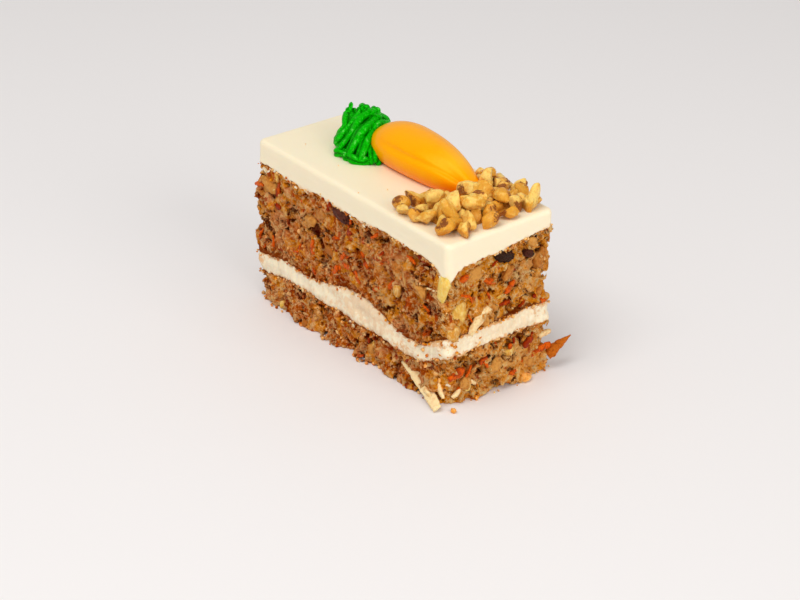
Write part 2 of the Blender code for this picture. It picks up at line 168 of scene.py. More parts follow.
def shown(red, green, blue):
    """A colour as a screen shows it, from 0 to 255, as the linear values that Blender takes."""
    return tuple((v / 255 / 12.92) if v <= 10 else ((v / 255 + 0.055) / 1.055) ** 2.4 for v in (red, green, blue))


def size_prop(name, description, default):
    return FloatProperty(name=name, description=description, default=default * MM, min=0, unit="LENGTH")


def colour_prop(name, description, default):
    return FloatVectorProperty(
        name=name, description=description, default=shown(*default), size=3, min=0, max=1, subtype="COLOR"
    )


class CrumbSettings(bpy.types.PropertyGroup):
    voxel: size_prop("Detail", "Side of the cells that the sponge's surface is drawn from", 0.57)
    clump: size_prop("Clump", "Width of the clumps that the crumb tears into", 4.8)
    clump_depth: size_prop("Clump depth", "How far the clumps stand out", 1.6)
    bubble: size_prop("Bubble", "Width of the small bubbles that the cut opens", 1.8)
    bubble_depth: size_prop("Bubble depth", "How deep those bubbles are", 0.5)
    tear: size_prop("Tear", "Width of the bumps that tearing leaves", 3.8)
    tear_depth: size_prop("Tear depth", "Height of those bumps", 3.6)
    pit: size_prop("Pit", "Width of the deep ragged pits", 3.9)
    pit_depth: size_prop("Pit depth", "How deep the ragged pits are", 2.5)
    granules: IntProperty(name="Granules", description="Loose granules for each layer", default=420, min=0)
    pale: colour_prop("Pale crumb", "Thin walls that catch the light", (255, 214, 146))
    mauve: colour_prop("Soft crumb", "Fluffy crumb between the moist clumps", (234, 150, 88))
    middle: colour_prop("Crumb", "Most of the crumb", (212, 107, 8))
    moist: colour_prop("Moist crumb", "Damp crumb with fruit in it", (250, 156, 24))
    # Also painted shade in the middles of the crumb's small bubbles.
    dark: colour_prop("Dark crumb", "Spiced crumb", (156, 48, 0))
    # Painted shade inside the pits and deep hollows of the crumb.
    pit_shade: colour_prop("Pit colour", "The inside of a pit", (96, 14, 0))
    crust: colour_prop("Crust", "Baked skin next to the filling", (146, 58, 4))
    seed: IntProperty(name="Seed", description="Picks where the pores fall", default=4, min=0)


class MixInSettings(bpy.types.PropertyGroup):
    shreds: IntProperty(name="Carrot shreds", description="Scattered shreds of carrot", default=120, min=0)
    walnuts: IntProperty(name="Walnut bits", description="Scattered bits of walnut", default=32, min=0)
    raisins: IntProperty(name="Raisins", description="Scattered raisins", default=10, min=0)
    fruit: IntProperty(name="Fruit", description="Scattered bits of pineapple", default=16, min=0)
    coconut: IntProperty(name="Coconut", description="Scattered strips of coconut", default=16, min=0)
    shred_colour: colour_prop("Shred", "Baked carrot", (226, 92, 14))
    shred_dark: colour_prop("Dark shred", "Carrot baked nearly red", (150, 30, 2))
    walnut_colour: colour_prop("Baked walnut", "Walnut inside the crumb", (216, 152, 72))
    raisin_colour: colour_prop("Raisin", "Dark wrinkled skin", (94, 42, 34))
    fruit_colour: colour_prop("Pineapple", "Pale moist yellow", (246, 204, 96))
    coconut_colour: colour_prop("Coconut", "Pale strip", (255, 226, 172))


class CreamSettings(bpy.types.PropertyGroup):
    icing: colour_prop("Icing", "The smooth slab on top", (250, 236, 206))
    filling: colour_prop("Filling", "The torn layer between the sponges", (255, 244, 216))
    # Also the colour of one wide darker patch in the middle of the long side's filling.
    stain: colour_prop("Stain", "Crumb oil that has soaked into the edge", (222, 142, 18))
    groove_depth: size_prop("Groove depth", "How deep the knife's torn grooves are in the filling", 0.6)
    smear: size_prop("Smear", "How far the icing is dragged over the crumb", 1.5)


class ToppingSettings(bpy.types.PropertyGroup):
    carrot: colour_prop("Carrot", "Piped orange icing", (255, 169, 0))
    # Painted shade on the carrot's lower side and under its tip, and deeper orange at random.
    carrot_deep_and_shade: colour_prop("Deep carrot", "Where the icing is thick", (255, 132, 0))
    leaf: colour_prop("Leaves", "Piped green icing", (0, 182, 0))
    # Painted shade in the grooves between the ropes' ridges.
    leaf_groove_shade: colour_prop("Deep leaves", "Between the ridges of the ropes", (0, 108, 0))
    # Painted highlight on the crests of the ropes' ridges.
    leaf_crest_highlight: colour_prop("Leaf crests", "The crests of the ropes' ridges", (130, 246, 112))
    rope: size_prop("Rope", "Radius of a rope of green icing", 2.3)
    ridges: IntProperty(name="Ridges", description="Ridges that the nozzle leaves", default=3, min=3)
    walnut: colour_prop("Walnut", "Fresh cut walnut", (226, 160, 50))
    walnut_pale: colour_prop("Pale walnut", "The heart of the nut", (250, 210, 114))
    skin: colour_prop("Walnut skin", "Bits of brown skin", (120, 50, 10))


class StageSettings(bpy.types.PropertyGroup):
    azimuth: FloatProperty(
        name="Azimuth", description="The camera's bearing", default=math.radians(51.609), subtype="ANGLE"
    )
    elevation: FloatProperty(
        name="Elevation", description="The camera's height above level", default=math.radians(28.445), subtype="ANGLE"
    )
    distance: size_prop("Distance", "From the camera to the slice", 667.9)
    lens: FloatProperty(name="Lens", description="Focal length on a 36 mm sensor", default=85.5, unit="CAMERA")
    key: FloatProperty(name="Key light", description="The large lamp above", default=7.6, min=0, subtype="POWER")
    fill: FloatProperty(name="Fill light", description="The lamp beside the camera", default=7.0, min=0, subtype="POWER")
    sky: FloatProperty(name="Room light", description="Even light from all round", default=0.5, min=0)
    floor: colour_prop("Floor", "Plain pale floor", (240, 237, 237))


class Field:
    """One output of a node. Arithmetic on it adds Math nodes to its tree."""

    def __init__(self, graph, socket):
        self.graph = graph
        self.socket = socket

    def math(self, operation, *others):
        return self.graph.math(operation, self, *others)

    def other(self, name):
        """Another output of the same node."""
        return Field(self.graph, self.socket.node.outputs[name])

    def __add__(self, other):
        return self.math("ADD", other)

    def __sub__(self, other):
        return self.math("SUBTRACT", other)

    def __rsub__(self, other):
        return self.graph.math("SUBTRACT", other, self)

    def __mul__(self, other):
        return self.math("MULTIPLY", other)

    def __truediv__(self, other):
        return self.math("DIVIDE", other)

    def __rtruediv__(self, other):
        return self.graph.math("DIVIDE", other, self)

    def __neg__(self):
        return self.math("MULTIPLY", -1)

    __radd__ = __add__
    __rmul__ = __mul__


class Graph:
    """A node tree that is being built."""

    def __init__(self, tree):
        self.tree = tree
        self.tree.nodes.clear()

    def add(self, kind, settings=None, inputs=None, output=0):
        """Adds a node and returns one of its outputs. Inputs go by name or by number, as values or as fields."""
        node = self.tree.nodes.new(kind)
        for key, value in (settings or {}).items():
            setattr(node, key, value)
        for key, value in (inputs or {}).items():
            socket = node.inputs[key]
            if isinstance(value, Field):
                self.tree.links.new(value.socket, socket)
            elif socket.type == "RGBA":
                socket.default_value = (*value, 1)[:4]
            else:
                socket.default_value = value
        return Field(self, node.outputs[output]) if len(node.outputs) else node

    def math(self, operation, *values):
        return self.add("ShaderNodeMath", {"operation": operation}, dict(enumerate(values)))

    def vector(self, operation, *vectors, output=0):
        return self.add("ShaderNodeVectorMath", {"operation": operation}, dict(enumerate(vectors)), output)

    def scaled(self, vector, by):
        return self.add("ShaderNodeVectorMath", {"operation": "SCALE"}, {0: vector, "Scale": by})

    def combine(self, x, y, z):
        return self.add("ShaderNodeCombineXYZ", None, {0: x, 1: y, 2: z})

    def separate(self, vector):
        first = self.add("ShaderNodeSeparateXYZ", None, {0: vector})
        return first, first.other("Y"), first.other("Z")

    def mix_colours(self, share, low, high):
        """Goes from one colour to another as share goes from 0 to 1."""
        return self.add("ShaderNodeMix", {"data_type": "RGBA"}, {0: share, 6: low, 7: high}, 2)

    def noise(self, place, pitch, detail=2.0, roughness=0.5, distortion=0.0):
        """Soft noise from 0 to 1. pitch is the width of its bumps, in the units of place."""
        sockets = {"Vector": place, "Scale": 1 / pitch, "Detail": detail}
        sockets |= {"Roughness": roughness, "Distortion": distortion}
        return self.add("ShaderNodeTexNoise", None, sockets)

    def cells(self, place, pitch, feature="F1"):
        """Distance from the middle of the nearest cell. Its other outputs have the cell's own colour and place."""
        settings = {"feature": feature, "voronoi_dimensions": "3D"}
        return self.add("ShaderNodeTexVoronoi", settings, {"Vector": place, "Scale": 1 / pitch})

    def step(self, value, low, high, from_value=0.0, to_value=1.0):
        """A smooth step from one number to another as value goes from low to high."""
        sockets = {"Value": value, "From Min": low, "From Max": high, "To Min": from_value, "To Max": to_value}
        return self.add("ShaderNodeMapRange", {"interpolation_type": "SMOOTHSTEP"}, sockets)

    def input(self, name, kind):
        """A named input of a geometry tree, as a field."""
        self.tree.interface.new_socket(name, in_out="INPUT", socket_type=kind)
        nodes = [n for n in self.tree.nodes if n.bl_idname == "NodeGroupInput"]
        node = nodes[0] if nodes else self.tree.nodes.new("NodeGroupInput")
        return Field(self, node.outputs[name])

    def keep(self, geometry, name, value):
        """Stores a number on every point under a name."""
        sockets = {"Geometry": geometry, "Name": name, "Value": value}
        settings = {"data_type": "FLOAT", "domain": "POINT"}
        return self.add("GeometryNodeStoreNamedAttribute", settings, sockets)

    def finish(self, geometry, material):
        """Ends a geometry tree: real faces, its material and the output."""
        real = self.add("GeometryNodeRealizeInstances", None, {"Geometry": geometry})
        painted = self.add("GeometryNodeSetMaterial", None, {"Geometry": real, "Material": material})
        self.tree.interface.new_socket("Geometry", in_out="OUTPUT", socket_type="NodeSocketGeometry")
        self.add("NodeGroupOutput", None, {0: painted})


def geometry_graph(name):
    return Graph(bpy.data.node_groups.new(name, "GeometryNodeTree"))


def grow(name, source, graph, values):
    """Runs a geometry tree on an object's data and returns the plain mesh that it makes, as a new object."""
    carrier = bpy.data.objects.new(name + "_source", source)
    bpy.context.scene.collection.objects.link(carrier)
    modifier = carrier.modifiers.new("grow", "NODES")
    modifier.node_group = graph.tree
    for item in graph.tree.interface.items_tree:
        if item.in_out == "INPUT" and item.name in values:
            modifier[item.identifier] = values[item.name]
    bpy.context.view_layer.update()
    mesh = bpy.data.meshes.new_from_object(carrier.evaluated_get(bpy.context.evaluated_depsgraph_get()))
    carrier.modifiers.remove(modifier)
    bpy.data.objects.remove(carrier)
    mesh.name = name
    made = bpy.data.objects.new(name, mesh)
    bpy.context.scene.collection.objects.link(made)
    return made


def settle(piece, replaces=None):
    """Fixes a finished piece to the slice's one body."""
    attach(piece, "root")
    if replaces:
        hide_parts(replaces)
    return piece


def either(operation, plain):
    """A function that works on numbers and arrays, and on fields by adding a node."""

    def apply(*values):
        for value in values:
            if isinstance(value, Field):
                return value.graph.math(operation, *values)
        return plain(*values)

    return apply


sine = either("SINE", np.sin)
exponential = either("EXPONENT", np.exp)
root = either("SQRT", np.sqrt)
least = either("MINIMUM", np.minimum)
most = either("MAXIMUM", np.maximum)
size_of = either("ABSOLUTE", np.abs)


def smooth_step(value, start, end):
    share = least(most((value - start) / (end - start), 0), 1)
    return share * share * (3 - 2 * share)


def bell(value, centre, spread):
    share = (value - centre) / spread
    return exponential(-(share * share))


def near_corner(x, y, reach):
    """1 at the nearest vertical edge of the slice, falling away round it."""
    dx = (x - HALF_LENGTH) / reach
    dy = (y + HALF_WIDTH) / reach
    return exponential(-(dx * dx + dy * dy))


def ripple(x, y, pitch):
    return LAYER_RIPPLE * sine(x / pitch + y / (2 * pitch))


def filling_floor(x, y):
    rise = LOWER_RISE * smooth_step(x, RISE_START, RISE_END)
    drop = LOWER_DROP * smooth_step(-x, RISE_START, RISE_END)
    return LOWER_THICKNESS + rise - drop + ripple(x, y, 3.6)


def filling_ceiling(x, y):
    rise = FILLING_RISE * smooth_step(x, RISE_START, RISE_END)
    drop = FILLING_DROP * smooth_step(-x, RISE_START, RISE_END)
    hump = FILLING_HUMP * bell(x, FILLING_HUMP_X, FILLING_HUMP_SPREAD)
    return FILLING_TOP + rise - drop + hump + ripple(x, y, 4.3)


def icing_floor(x, y):
    tilt = ICING_CROSS_TILT * y * smooth_step(x, RISE_START, RISE_END)
    drip = ICING_DRIP * near_corner(x, y, ICING_DRIP_SPREAD)
    return ICING_FLOOR + tilt - drip + ripple(x, y, 5.1)


def icing_top(x, y):
    return SLICE_HEIGHT - TOP_FALL_PER_MM * x


def table(x, y):
    return x * 0


def slump(x, y, z):
    """How far a point moves: the far end leans out, the long side's foot spreads, the corner crumbles."""
    lean = END_LEAN * bell(z, END_LEAN_Z, END_LEAN_SPREAD) * smooth_step(-x, 30, HALF_LENGTH)
    toe = TOE_SPREAD * bell(z, 0, TOE_HEIGHT) * bell(x, TOE_X, TOE_WIDTH) * smooth_step(-y, 10, HALF_WIDTH)
    crumble = CRUMBLE * near_corner(x, y, CRUMBLE_REACH) * bell(z, 0, CRUMBLE_HEIGHT)
    return -lean - crumble, crumble - toe


def crags(x, y, z):
    """How far the broken crumb stands out: waves whose directions and lengths follow the golden angle."""
    total = 0
    for k in range(CRAG_WAVES):
        bearing = k * GOLDEN_ANGLE
        direction = Vector((math.cos(bearing), math.sin(bearing), math.sin(2.4 * k))).normalized()
        pull = 2 * math.pi / (CRAG_SHORTEST + CRAG_STEP * k)
        along = x * (direction.x * pull) + y * (direction.y * pull) + z * (direction.z * pull)
        total = sine(along + k * k) + total
    return CRAG_HEIGHT * total - CRUMB_RECESS


def outline_distance(x, y):
    """Distance outside the slice's outline from above."""
    over_x = size_of(x) - (HALF_LENGTH - CORNER_RADIUS)
    over_y = size_of(y) - (HALF_WIDTH - CORNER_RADIUS)
    out_x = most(over_x, 0)
    out_y = most(over_y, 0)
    return root(out_x * out_x + out_y * out_y) + least(most(over_x, over_y), 0) - CORNER_RADIUS


def sponge_tree(floor, ceiling, low, high):
    """Makes one sponge layer as a solid in a grid of cells, with grains and pores, and meshes its surface."""
    graph = geometry_graph("sponge_layer")
    voxel = graph.input("Detail", "NodeSocketFloat")
    clump_size = graph.input("Clump", "NodeSocketFloat")
    clump_depth = graph.input("Clump depth", "NodeSocketFloat")
    bubble_size = graph.input("Bubble", "NodeSocketFloat")
    bubble_depth = graph.input("Bubble depth", "NodeSocketFloat")
    tear_size = graph.input("Tear", "NodeSocketFloat")
    tear_depth = graph.input("Tear depth", "NodeSocketFloat")
    pit_size = graph.input("Pit", "NodeSocketFloat")
    pit_depth = graph.input("Pit depth", "NodeSocketFloat")
    seed = graph.input("Seed", "NodeSocketFloat")
    material = graph.input("Material", "NodeSocketMaterial")

    place = graph.add("GeometryNodeInputPosition")
    x, y, z = graph.separate(place)
    home_x, home_y = x, y
    for _ in range(2):
        move_x, move_y = slump(home_x, home_y, z)
        home_x = x - move_x
        home_y = y - move_y
    on_table = floor is table
    above = z if on_table else z - floor(x, y)
    below = ceiling(x, y) - z
    to_cream = below if on_table else least(above, below)
    wall = outline_distance(home_x, home_y) - crags(home_x, home_y, z) * graph.step(to_cream, 0, 2.2)

    seeded = graph.vector("ADD", place, graph.combine(seed * 31.7, 0, 0))
    tear = graph.noise(seeded, tear_size, 4, 0.66, 0.6)
    clump = graph.cells(wobbled(graph, seeded, *CLUMP_WOBBLE), clump_size)
    bubble = graph.cells(wobbled(graph, seeded, *BUBBLE_WOBBLE), bubble_size)
    relief = (0.5 - tear) * tear_depth * 2 + (clump - 0.42) * clump_depth + (0.42 - bubble) * bubble_depth * 2
    torn = wall + relief * graph.step(to_cream, 0, 1.2, 0.4, 1)
    pit = pits(graph, place, seeded, pit_size) * graph.step(to_cream, 0.2, 1.4)
    solid = -(torn + pit * pit_depth)
    solid = least(solid, below + 0.12)
    solid = least(solid, above if on_table else above + 0.12)

    sockets = {"Density": solid, "Background": -1.0, "Min": low, "Max": high}
    for axis, letter in enumerate("XYZ"):
        sockets[f"Resolution {letter}"] = (high[axis] - low[axis]) / voxel
    volume = graph.add("GeometryNodeVolumeCube", None, sockets)
    skin = graph.add("GeometryNodeVolumeToMesh", None, {"Volume": volume, "Threshold": 0.0, "Adaptivity": 0.02})
    skin = drop_scraps(graph, skin, 4000)
    skin = graph.keep(skin, "depth", -wall)
    skin = graph.keep(skin, "above", above)
    skin = graph.keep(skin, "below", below)
    skin = graph.add("GeometryNodeTransform", None, {"Geometry": skin, "Scale": (MM, MM, MM)})
    skin = graph.add("GeometryNodeSetShadeSmooth", None, {"Geometry": skin, "Shade Smooth": True})
    graph.finish(skin, material)
    return graph


# How ragged the clumps and bubbles are: the pitch of the noise that pushes their sides, and how far
CLUMP_WOBBLE = (2.2, 4.0)
BUBBLE_WOBBLE = (1.6, 2.2)


def wobbled(graph, place, pitch, reach):
    """Places pushed about by noise, so that cells drawn from them have ragged sides."""
    return graph.vector("ADD", place, graph.scaled(graph.noise(place, pitch).other("Color"), reach))


# Larger holes that show at the cuts: their middles and half sizes
HOLES_SEEN = (
    ((-39.3, -22.5, 33.5), (2.8, 3, 1.7)),
    ((-28.5, -24.5, 9.8), (4.2, 3, 1.8)),
    ((-14.7, -24.0, 10.0), (4.0, 3, 1.5)),
    ((-15.3, -22.5, 27.0), (3.2, 3, 1.6)),
    ((-22.0, -22.5, 38.6), (2.4, 3, 1.4)),
    ((11.0, -22.5, 48.0), (2.4, 3, 1.3)),
    ((43.5, -22.5, 33.8), (4.4, 3, 1.8)),
    ((49.8, -22.5, 41.0), (2.6, 3, 1.5)),
    ((24.0, -22.5, 31.5), (3.4, 3, 1.4)),
    ((52.0, -14.8, 16.0), (3, 3.0, 1.6)),
    ((52.0, 11.6, 17.4), (3, 3.6, 1.5)),
    ((52.0, 1.5, 41.2), (3, 1.8, 2.2)),
    ((52.0, 12.0, 31.5), (3, 2.8, 1.1)),
    ((52.0, -3.0, 12.8), (3, 2.0, 1.3)),
)


def inside_blob(graph, place, middle, half, push, edge):
    """1 inside a blob and 0 outside it. A field pushes its side about, and edge is how soft that side is."""
    away = graph.vector("DIVIDE", graph.vector("SUBTRACT", place, middle), half)
    distance = graph.vector("LENGTH", away, output="Value") + push
    return graph.step(distance, 1 - edge, 1, 1, 0)


def pits(graph, place, seeded, size):
    """1 in the deep ragged pits and holes of the crumb and 0 outside them. The pits come in clusters."""
    ragged = graph.noise(seeded, size, 5, 0.68, 0.5)
    cluster = (graph.noise(place, 11, 2) - 0.5) * 0.35
    inside = graph.step(ragged + cluster, 0.545, 0.605)
    for middle, half in HOLES_SEEN:
        inside = most(inside, inside_blob(graph, place, middle, half, (ragged - 0.5) * 5, 0.3))
    return inside


def drop_scraps(graph, mesh, fewest):
    """Deletes islands of a mesh that have fewer points than this."""
    island = graph.add("GeometryNodeInputMeshIsland")
    count = graph.add(
        "GeometryNodeAccumulateField", {"data_type": "INT", "domain": "POINT"}, {"Value": 1, "Group ID": island}, "Total"
    )
    small = graph.add("FunctionNodeCompare", {"data_type": "INT", "operation": "LESS_THAN"}, {2: count, 3: fewest})
    return graph.add("GeometryNodeDeleteGeometry", {"domain": "POINT"}, {"Geometry": mesh, "Selection": small})


def granule_tree():
    """Scatters small loose grains over the upright faces of a sponge layer."""
    graph = geometry_graph("loose_granules")
    source = graph.input("Geometry in", "NodeSocketGeometry")
    density = graph.input("Density", "NodeSocketFloat")
    smallest = graph.input("Smallest", "NodeSocketFloat")
    largest = graph.input("Largest", "NodeSocketFloat")
    material = graph.input("Material", "NodeSocketMaterial")

    slope = graph.separate(graph.add("GeometryNodeInputNormal"))[2]
    depth = graph.add("GeometryNodeInputNamedAttribute", {"data_type": "FLOAT"}, {"Name": "depth"})
    upright = graph.math("LESS_THAN", size_of(slope), 0.85) * graph.math("LESS_THAN", depth, 1.5)
    sockets = {"Mesh": source, "Density": density, "Selection": upright, "Seed": 3}
    points = graph.add("GeometryNodeDistributePointsOnFaces", None, sockets)
    turn = random_vector(graph, (0, 0, 0), (math.tau, math.tau, math.tau), 5)
    stretch = random_vector(graph, (0.7, 0.6, 0.5), (1.5, 1.1, 1.0), 6)
    luck = random_number(graph, 7)
    width = smallest + (largest - smallest) * luck * luck
    grain = graph.add("GeometryNodeMeshIcoSphere", None, {"Radius": 0.5, "Subdivisions": 1})
    sockets = {"Points": points, "Instance": grain, "Rotation": turn, "Scale": graph.scaled(stretch, width)}
    scattered = graph.add("GeometryNodeInstanceOnPoints", None, sockets)
    settings = {"data_type": "FLOAT", "domain": "INSTANCE"}
    sockets = {"Geometry": scattered, "Name": "tone", "Value": random_number(graph, 8)}
    toned = graph.add("GeometryNodeStoreNamedAttribute", settings, sockets)
    real = graph.add("GeometryNodeRealizeInstances", None, {"Geometry": toned})
    place = graph.add("GeometryNodeInputPosition")
    push = graph.vector("SUBTRACT", graph.noise(place, 0.6 * MM, 1).other("Color"), (0.5, 0.5, 0.5))
    rough = graph.add("GeometryNodeSetPosition", None, {"Geometry": real, "Offset": graph.scaled(push, 0.9 * MM)})
    x, y, z = graph.separate(graph.add("GeometryNodeInputPosition"))
    on_table = graph.combine(x, y, most(z, 0))
    resting = graph.add("GeometryNodeSetPosition", None, {"Geometry": rough, "Position": on_table})
    graph.finish(resting, material)
    return graph


def random_vector(graph, low, high, seed):
    sockets = {0: low, 1: high, "Seed": seed}
    return graph.add("FunctionNodeRandomValue", {"data_type": "FLOAT_VECTOR"}, sockets, 0)


def random_number(graph, seed):
    """A number from 0 to 1."""
    return graph.add("FunctionNodeRandomValue", {"data_type": "FLOAT"}, {2: 0.0, 3: 1.0, "Seed": seed}, 1)


def plan_ring(inset, long_steps=190, short_steps=84, corner_steps=8):
    """Points and outward directions round the slice's outline, always as many, anticlockwise from above."""
    half_x = HALF_LENGTH - inset
    half_y = HALF_WIDTH - inset
    radius = max(CORNER_RADIUS - inset, 0)
    places = []
    outwards = []
    sides = (
        (0, long_steps, half_x - radius, half_y),
        (90, short_steps, half_y - radius, half_x),
        (180, long_steps, half_x - radius, half_y),
        (270, short_steps, half_y - radius, half_x),
    )
    for turn, steps, reach, distance in sides:
        rotation = Matrix.Rotation(math.radians(turn), 2)
        for i in range(steps + 1):
            along = -reach + 2 * reach * i / steps
            places.append(rotation @ Vector((along, -distance)))
            outwards.append(rotation @ Vector((0, -1)))
        for i in range(1, corner_steps):
            angle = math.radians(-90 + 90 * i / corner_steps)
            outward = Vector((math.cos(angle), math.sin(angle)))
            places.append(rotation @ (Vector((reach, radius - distance)) + radius * outward))
            outwards.append(rotation @ outward)
    return np.array(places), np.array(outwards)


def soft_noise(places, pitch, seed=0, stretch=(1, 1, 1)):
    """Noise from about -1 to 1 at each place, with bumps as wide as pitch."""
    scaled = np.asarray(places) / pitch / np.asarray(stretch) + seed * 17.3
    return np.array([noise.noise(Vector(place)) for place in scaled])


def join_rings(rings):
    """The faces of a skin over rings of equally many points, each joined to the next."""
    count = len(rings[0])
    faces = []
    for row in range(len(rings) - 1):
        for i in range(count):
            j = (i + 1) % count
            low, high = row * count, (row + 1) * count
            faces.append((low + i, low + j, high + j, high + i))
    return np.concatenate(rings), faces


def make_piece(name, points, faces, material, marks=None, smooth=True):
    """A closed mesh object from points in millimetres. marks are numbers kept on the points."""
    mesh = bpy.data.meshes.new(name)
    mesh.from_pydata((np.asarray(points) * MM).tolist(), [], faces)
    for mark, values in (marks or {}).items():
        mesh.attributes.new(mark, "FLOAT", "POINT").data.foreach_set("value", np.asarray(values, np.float32))
    bm = bmesh.new()
    bm.from_mesh(mesh)
    bmesh.ops.remove_doubles(bm, verts=bm.verts, dist=1e-7)
    bmesh.ops.recalc_face_normals(bm, faces=bm.faces)
    for face in bm.faces:
        face.smooth = smooth
    bm.to_mesh(mesh)
    bm.free()
    mesh.materials.append(material)
    obj = bpy.data.objects.new(name, mesh)
    bpy.context.scene.collection.objects.link(obj)
    return obj


def moved_by_slump(places, heights):
    """Points at these places of the outline and heights, leaned and spread as the slice is."""
    dx, dy = slump(places[:, 0], places[:, 1], heights)
    return np.column_stack((places[:, 0] + dx, places[:, 1] + dy, heights))


def slab_rings(inset, height, out):
    """One ring of a cream layer: inset from the outline, at a height, pushed out by a distance."""
    places, outwards = plan_ring(inset)
    start = places + outwards * np.asarray(out).reshape(-1, 1)
    return moved_by_slump(start, height(places[:, 0], places[:, 1]))


def icing_slab(settings):
    """The icing on top: smooth, with a rounded edge, its lower edge dragged over the crumb."""
    smear = settings.smear / MM
    places, _ = plan_ring(0)
    around = np.column_stack((places, np.zeros(len(places))))
    drag = np.maximum(soft_noise(around, 5.5, 1) + 0.5 * soft_noise(around, 1.7, 2), 0) * smear * 1.6
    droop = 0.55 * soft_noise(around, 1.1, 3)
    rings = []
    for inset in (HALF_WIDTH, 16, 9, 4, 1.6):
        rings.append(slab_rings(inset, lambda x, y: icing_floor(x, y) + 0.1, 0))
    steps = 16
    for row in range(steps + 1):
        share = row / steps
        low = np.clip(1 - share * 3, 0, 1) ** 1.5

        def height(x, y):
            bottom = icing_floor(x, y) + 0.1 - drag * 1.0 + droop
            top = icing_top(x, y) - TOP_EDGE_RADIUS
            return bottom + (top - bottom) * share

        here = moved_by_slump(places, height(places[:, 0], places[:, 1]))
        swell = 0.16 * soft_noise(here, 9, 4) + 0.07 * soft_noise(here, 2.2, 5, (3, 3, 0.6))
        lip = -0.5 if row == 0 else 0.22 * low
        rings.append(slab_rings(0, height, swell + lip))
    turns = 7
    for i in range(1, turns + 1):
        turn = math.radians(90 * i / turns)
        pull = TOP_EDGE_RADIUS * (1 - math.cos(turn))
        drop = TOP_EDGE_RADIUS * (math.sin(turn) - 1)
        fade = math.cos(turn)
        here = moved_by_slump(places, icing_top(places[:, 0], places[:, 1]) + drop)
        swell = fade * (0.16 * soft_noise(here, 9, 4) + 0.07 * soft_noise(here, 2.2, 5, (3, 3, 0.6)))
        rings.append(slab_rings(pull, lambda x, y: icing_top(x, y) + drop, swell))
    for inset in (2.6, 4, 5.5, 7.5, 9.5, 11.5, 13.5, 15.5, 17.5, 19.5, 21, HALF_WIDTH):

        def surface(x, y):
            here = np.column_stack((x, y, x * 0))
            return icing_top(x, y) + 0.09 * soft_noise(here, 11, 6) * min(1, (inset - 1.6) / 3)

        rings.append(slab_rings(inset, surface, 0))
    return join_rings(rings)


def filling_slab(settings):
    """The filling: its cut edge has fine upright grooves, and its lower edge is toothed."""
    depth = settings.groove_depth / MM
    places, _ = plan_ring(0)
    around = np.column_stack((places, np.zeros(len(places))))
    teeth = 1.5 * np.abs(soft_noise(around, 1.9, 1)) + 0.6 * soft_noise(around, 0.8, 2)
    crest = 0.7 * soft_noise(around, 3.1, 3) + 0.5 * soft_noise(around, 1.0, 4)
    rings = []
    for inset in (HALF_WIDTH, 14, 6, 2.2, 0.9):
        rings.append(slab_rings(inset, lambda x, y: filling_floor(x, y) + 0.1, 0))
    steps = 18
    for row in range(steps + 1):
        share = row / steps

        def height(x, y):
            bottom = filling_floor(x, y) + 0.1 - teeth * 0.9
            top = filling_ceiling(x, y) - 0.1 + crest * 0.8
            return bottom + (top - bottom) * share

        here = moved_by_slump(places, height(places[:, 0], places[:, 1]))
        grooves = np.abs(soft_noise(here, 1.6, 5, (1, 1, 2.2))) - 0.3
        flakes = soft_noise(here, 0.9, 6) * 0.7 + soft_noise(here, 2.4, 7) * 1.6
        wave = 0.3 * (np.sin(here[:, 0] / 2.9 + here[:, 2] / 2.1) + np.sin(here[:, 1] / 3.3 + here[:, 2]))
        round_over = -0.7 * (abs(2 * share - 1) ** 6)
        torn = (flakes * 0.55 - grooves) * depth * (0.8 + 0.5 * (here[:, 0] > 49))
        rings.append(slab_rings(0, height, wave * 0.7 + torn + round_over))
    for inset in (0.9, 2.2, 6, 14, HALF_WIDTH):
        rings.append(slab_rings(inset, lambda x, y: filling_ceiling(x, y) - 0.1, 0))
    return join_rings(rings)


def carrot_profile(share):
    """The carrot's width as a share of its widest: blunt beside the leaves, pointed among the nuts."""
    if share < CARROT_WIDEST:
        return math.sqrt(max(1 - (1 - share / CARROT_WIDEST) ** 2, 0))
    return max(1 - ((share - CARROT_WIDEST) / (1 - CARROT_WIDEST)) ** 2.1, 0) ** 0.8


# Creases of the carrot: bearing round it from its back, half width in degrees, depth as a share of its
# radius, and where along it the crease begins and is full. A crease with less than no depth is a ridge.
CARROT_CREASES = (
    (150, 7, 0.07, 0.15, 0.4),
    (128, 17, 0.14, 0.5, 0.85),
    (96, 10, -0.05, 0.5, 0.85),
    (25, 12, 0.05, 0.3, 0.9),
)


def carrot_skin(stations=130, sides=128):
    """The piped carrot: a smooth body, with soft creases along it that gather at the tip."""
    rings = []
    for i in range(stations + 1):
        share = 0.5 - 0.5 * math.cos(math.pi * i / stations)
        size = max(carrot_profile(share), 0.004)
        x = CARROT_START_X + (CARROT_END_X - CARROT_START_X) * share
        angles = np.arange(sides) * math.tau / sides
        around = np.column_stack((np.full(sides, x / 14), np.cos(angles), np.sin(angles)))
        fold = 1 + 0.03 * (1 - share) * soft_noise(around, 1.2, 3)
        for bearing, width, deep, start, full in CARROT_CREASES:
            sway = 7 * math.sin(6 * share + bearing)
            away = (np.degrees(angles) - bearing - sway + 180) % 360 - 180
            fold -= deep * float(smooth_step(share, start, full)) * np.exp(-((away / width) ** 2))
        y = CARROT_Y + CARROT_HALF_WIDTH * size * fold * np.cos(angles)
        half_height = CARROT_HEIGHT * CARROT_BELLY * size**0.85
        rise = half_height * CARROT_LIFT + half_height * fold * np.sin(angles)
        z = icing_top(x, y) + 0.02 + np.maximum(rise, 0)
        rings.append(np.column_stack((np.full(sides, x), y, z)))
    return join_rings(rings)


def on_ellipse(centre, reach, bearings, share):
    angle = math.radians(bearings[0] + (bearings[1] - bearings[0]) * share)
    return centre[0] + reach[0] * math.cos(angle), centre[1] + reach[1] * math.sin(angle)


def on_icing(x, y, height):
    return Vector((x, y, icing_top(x, y) + height))


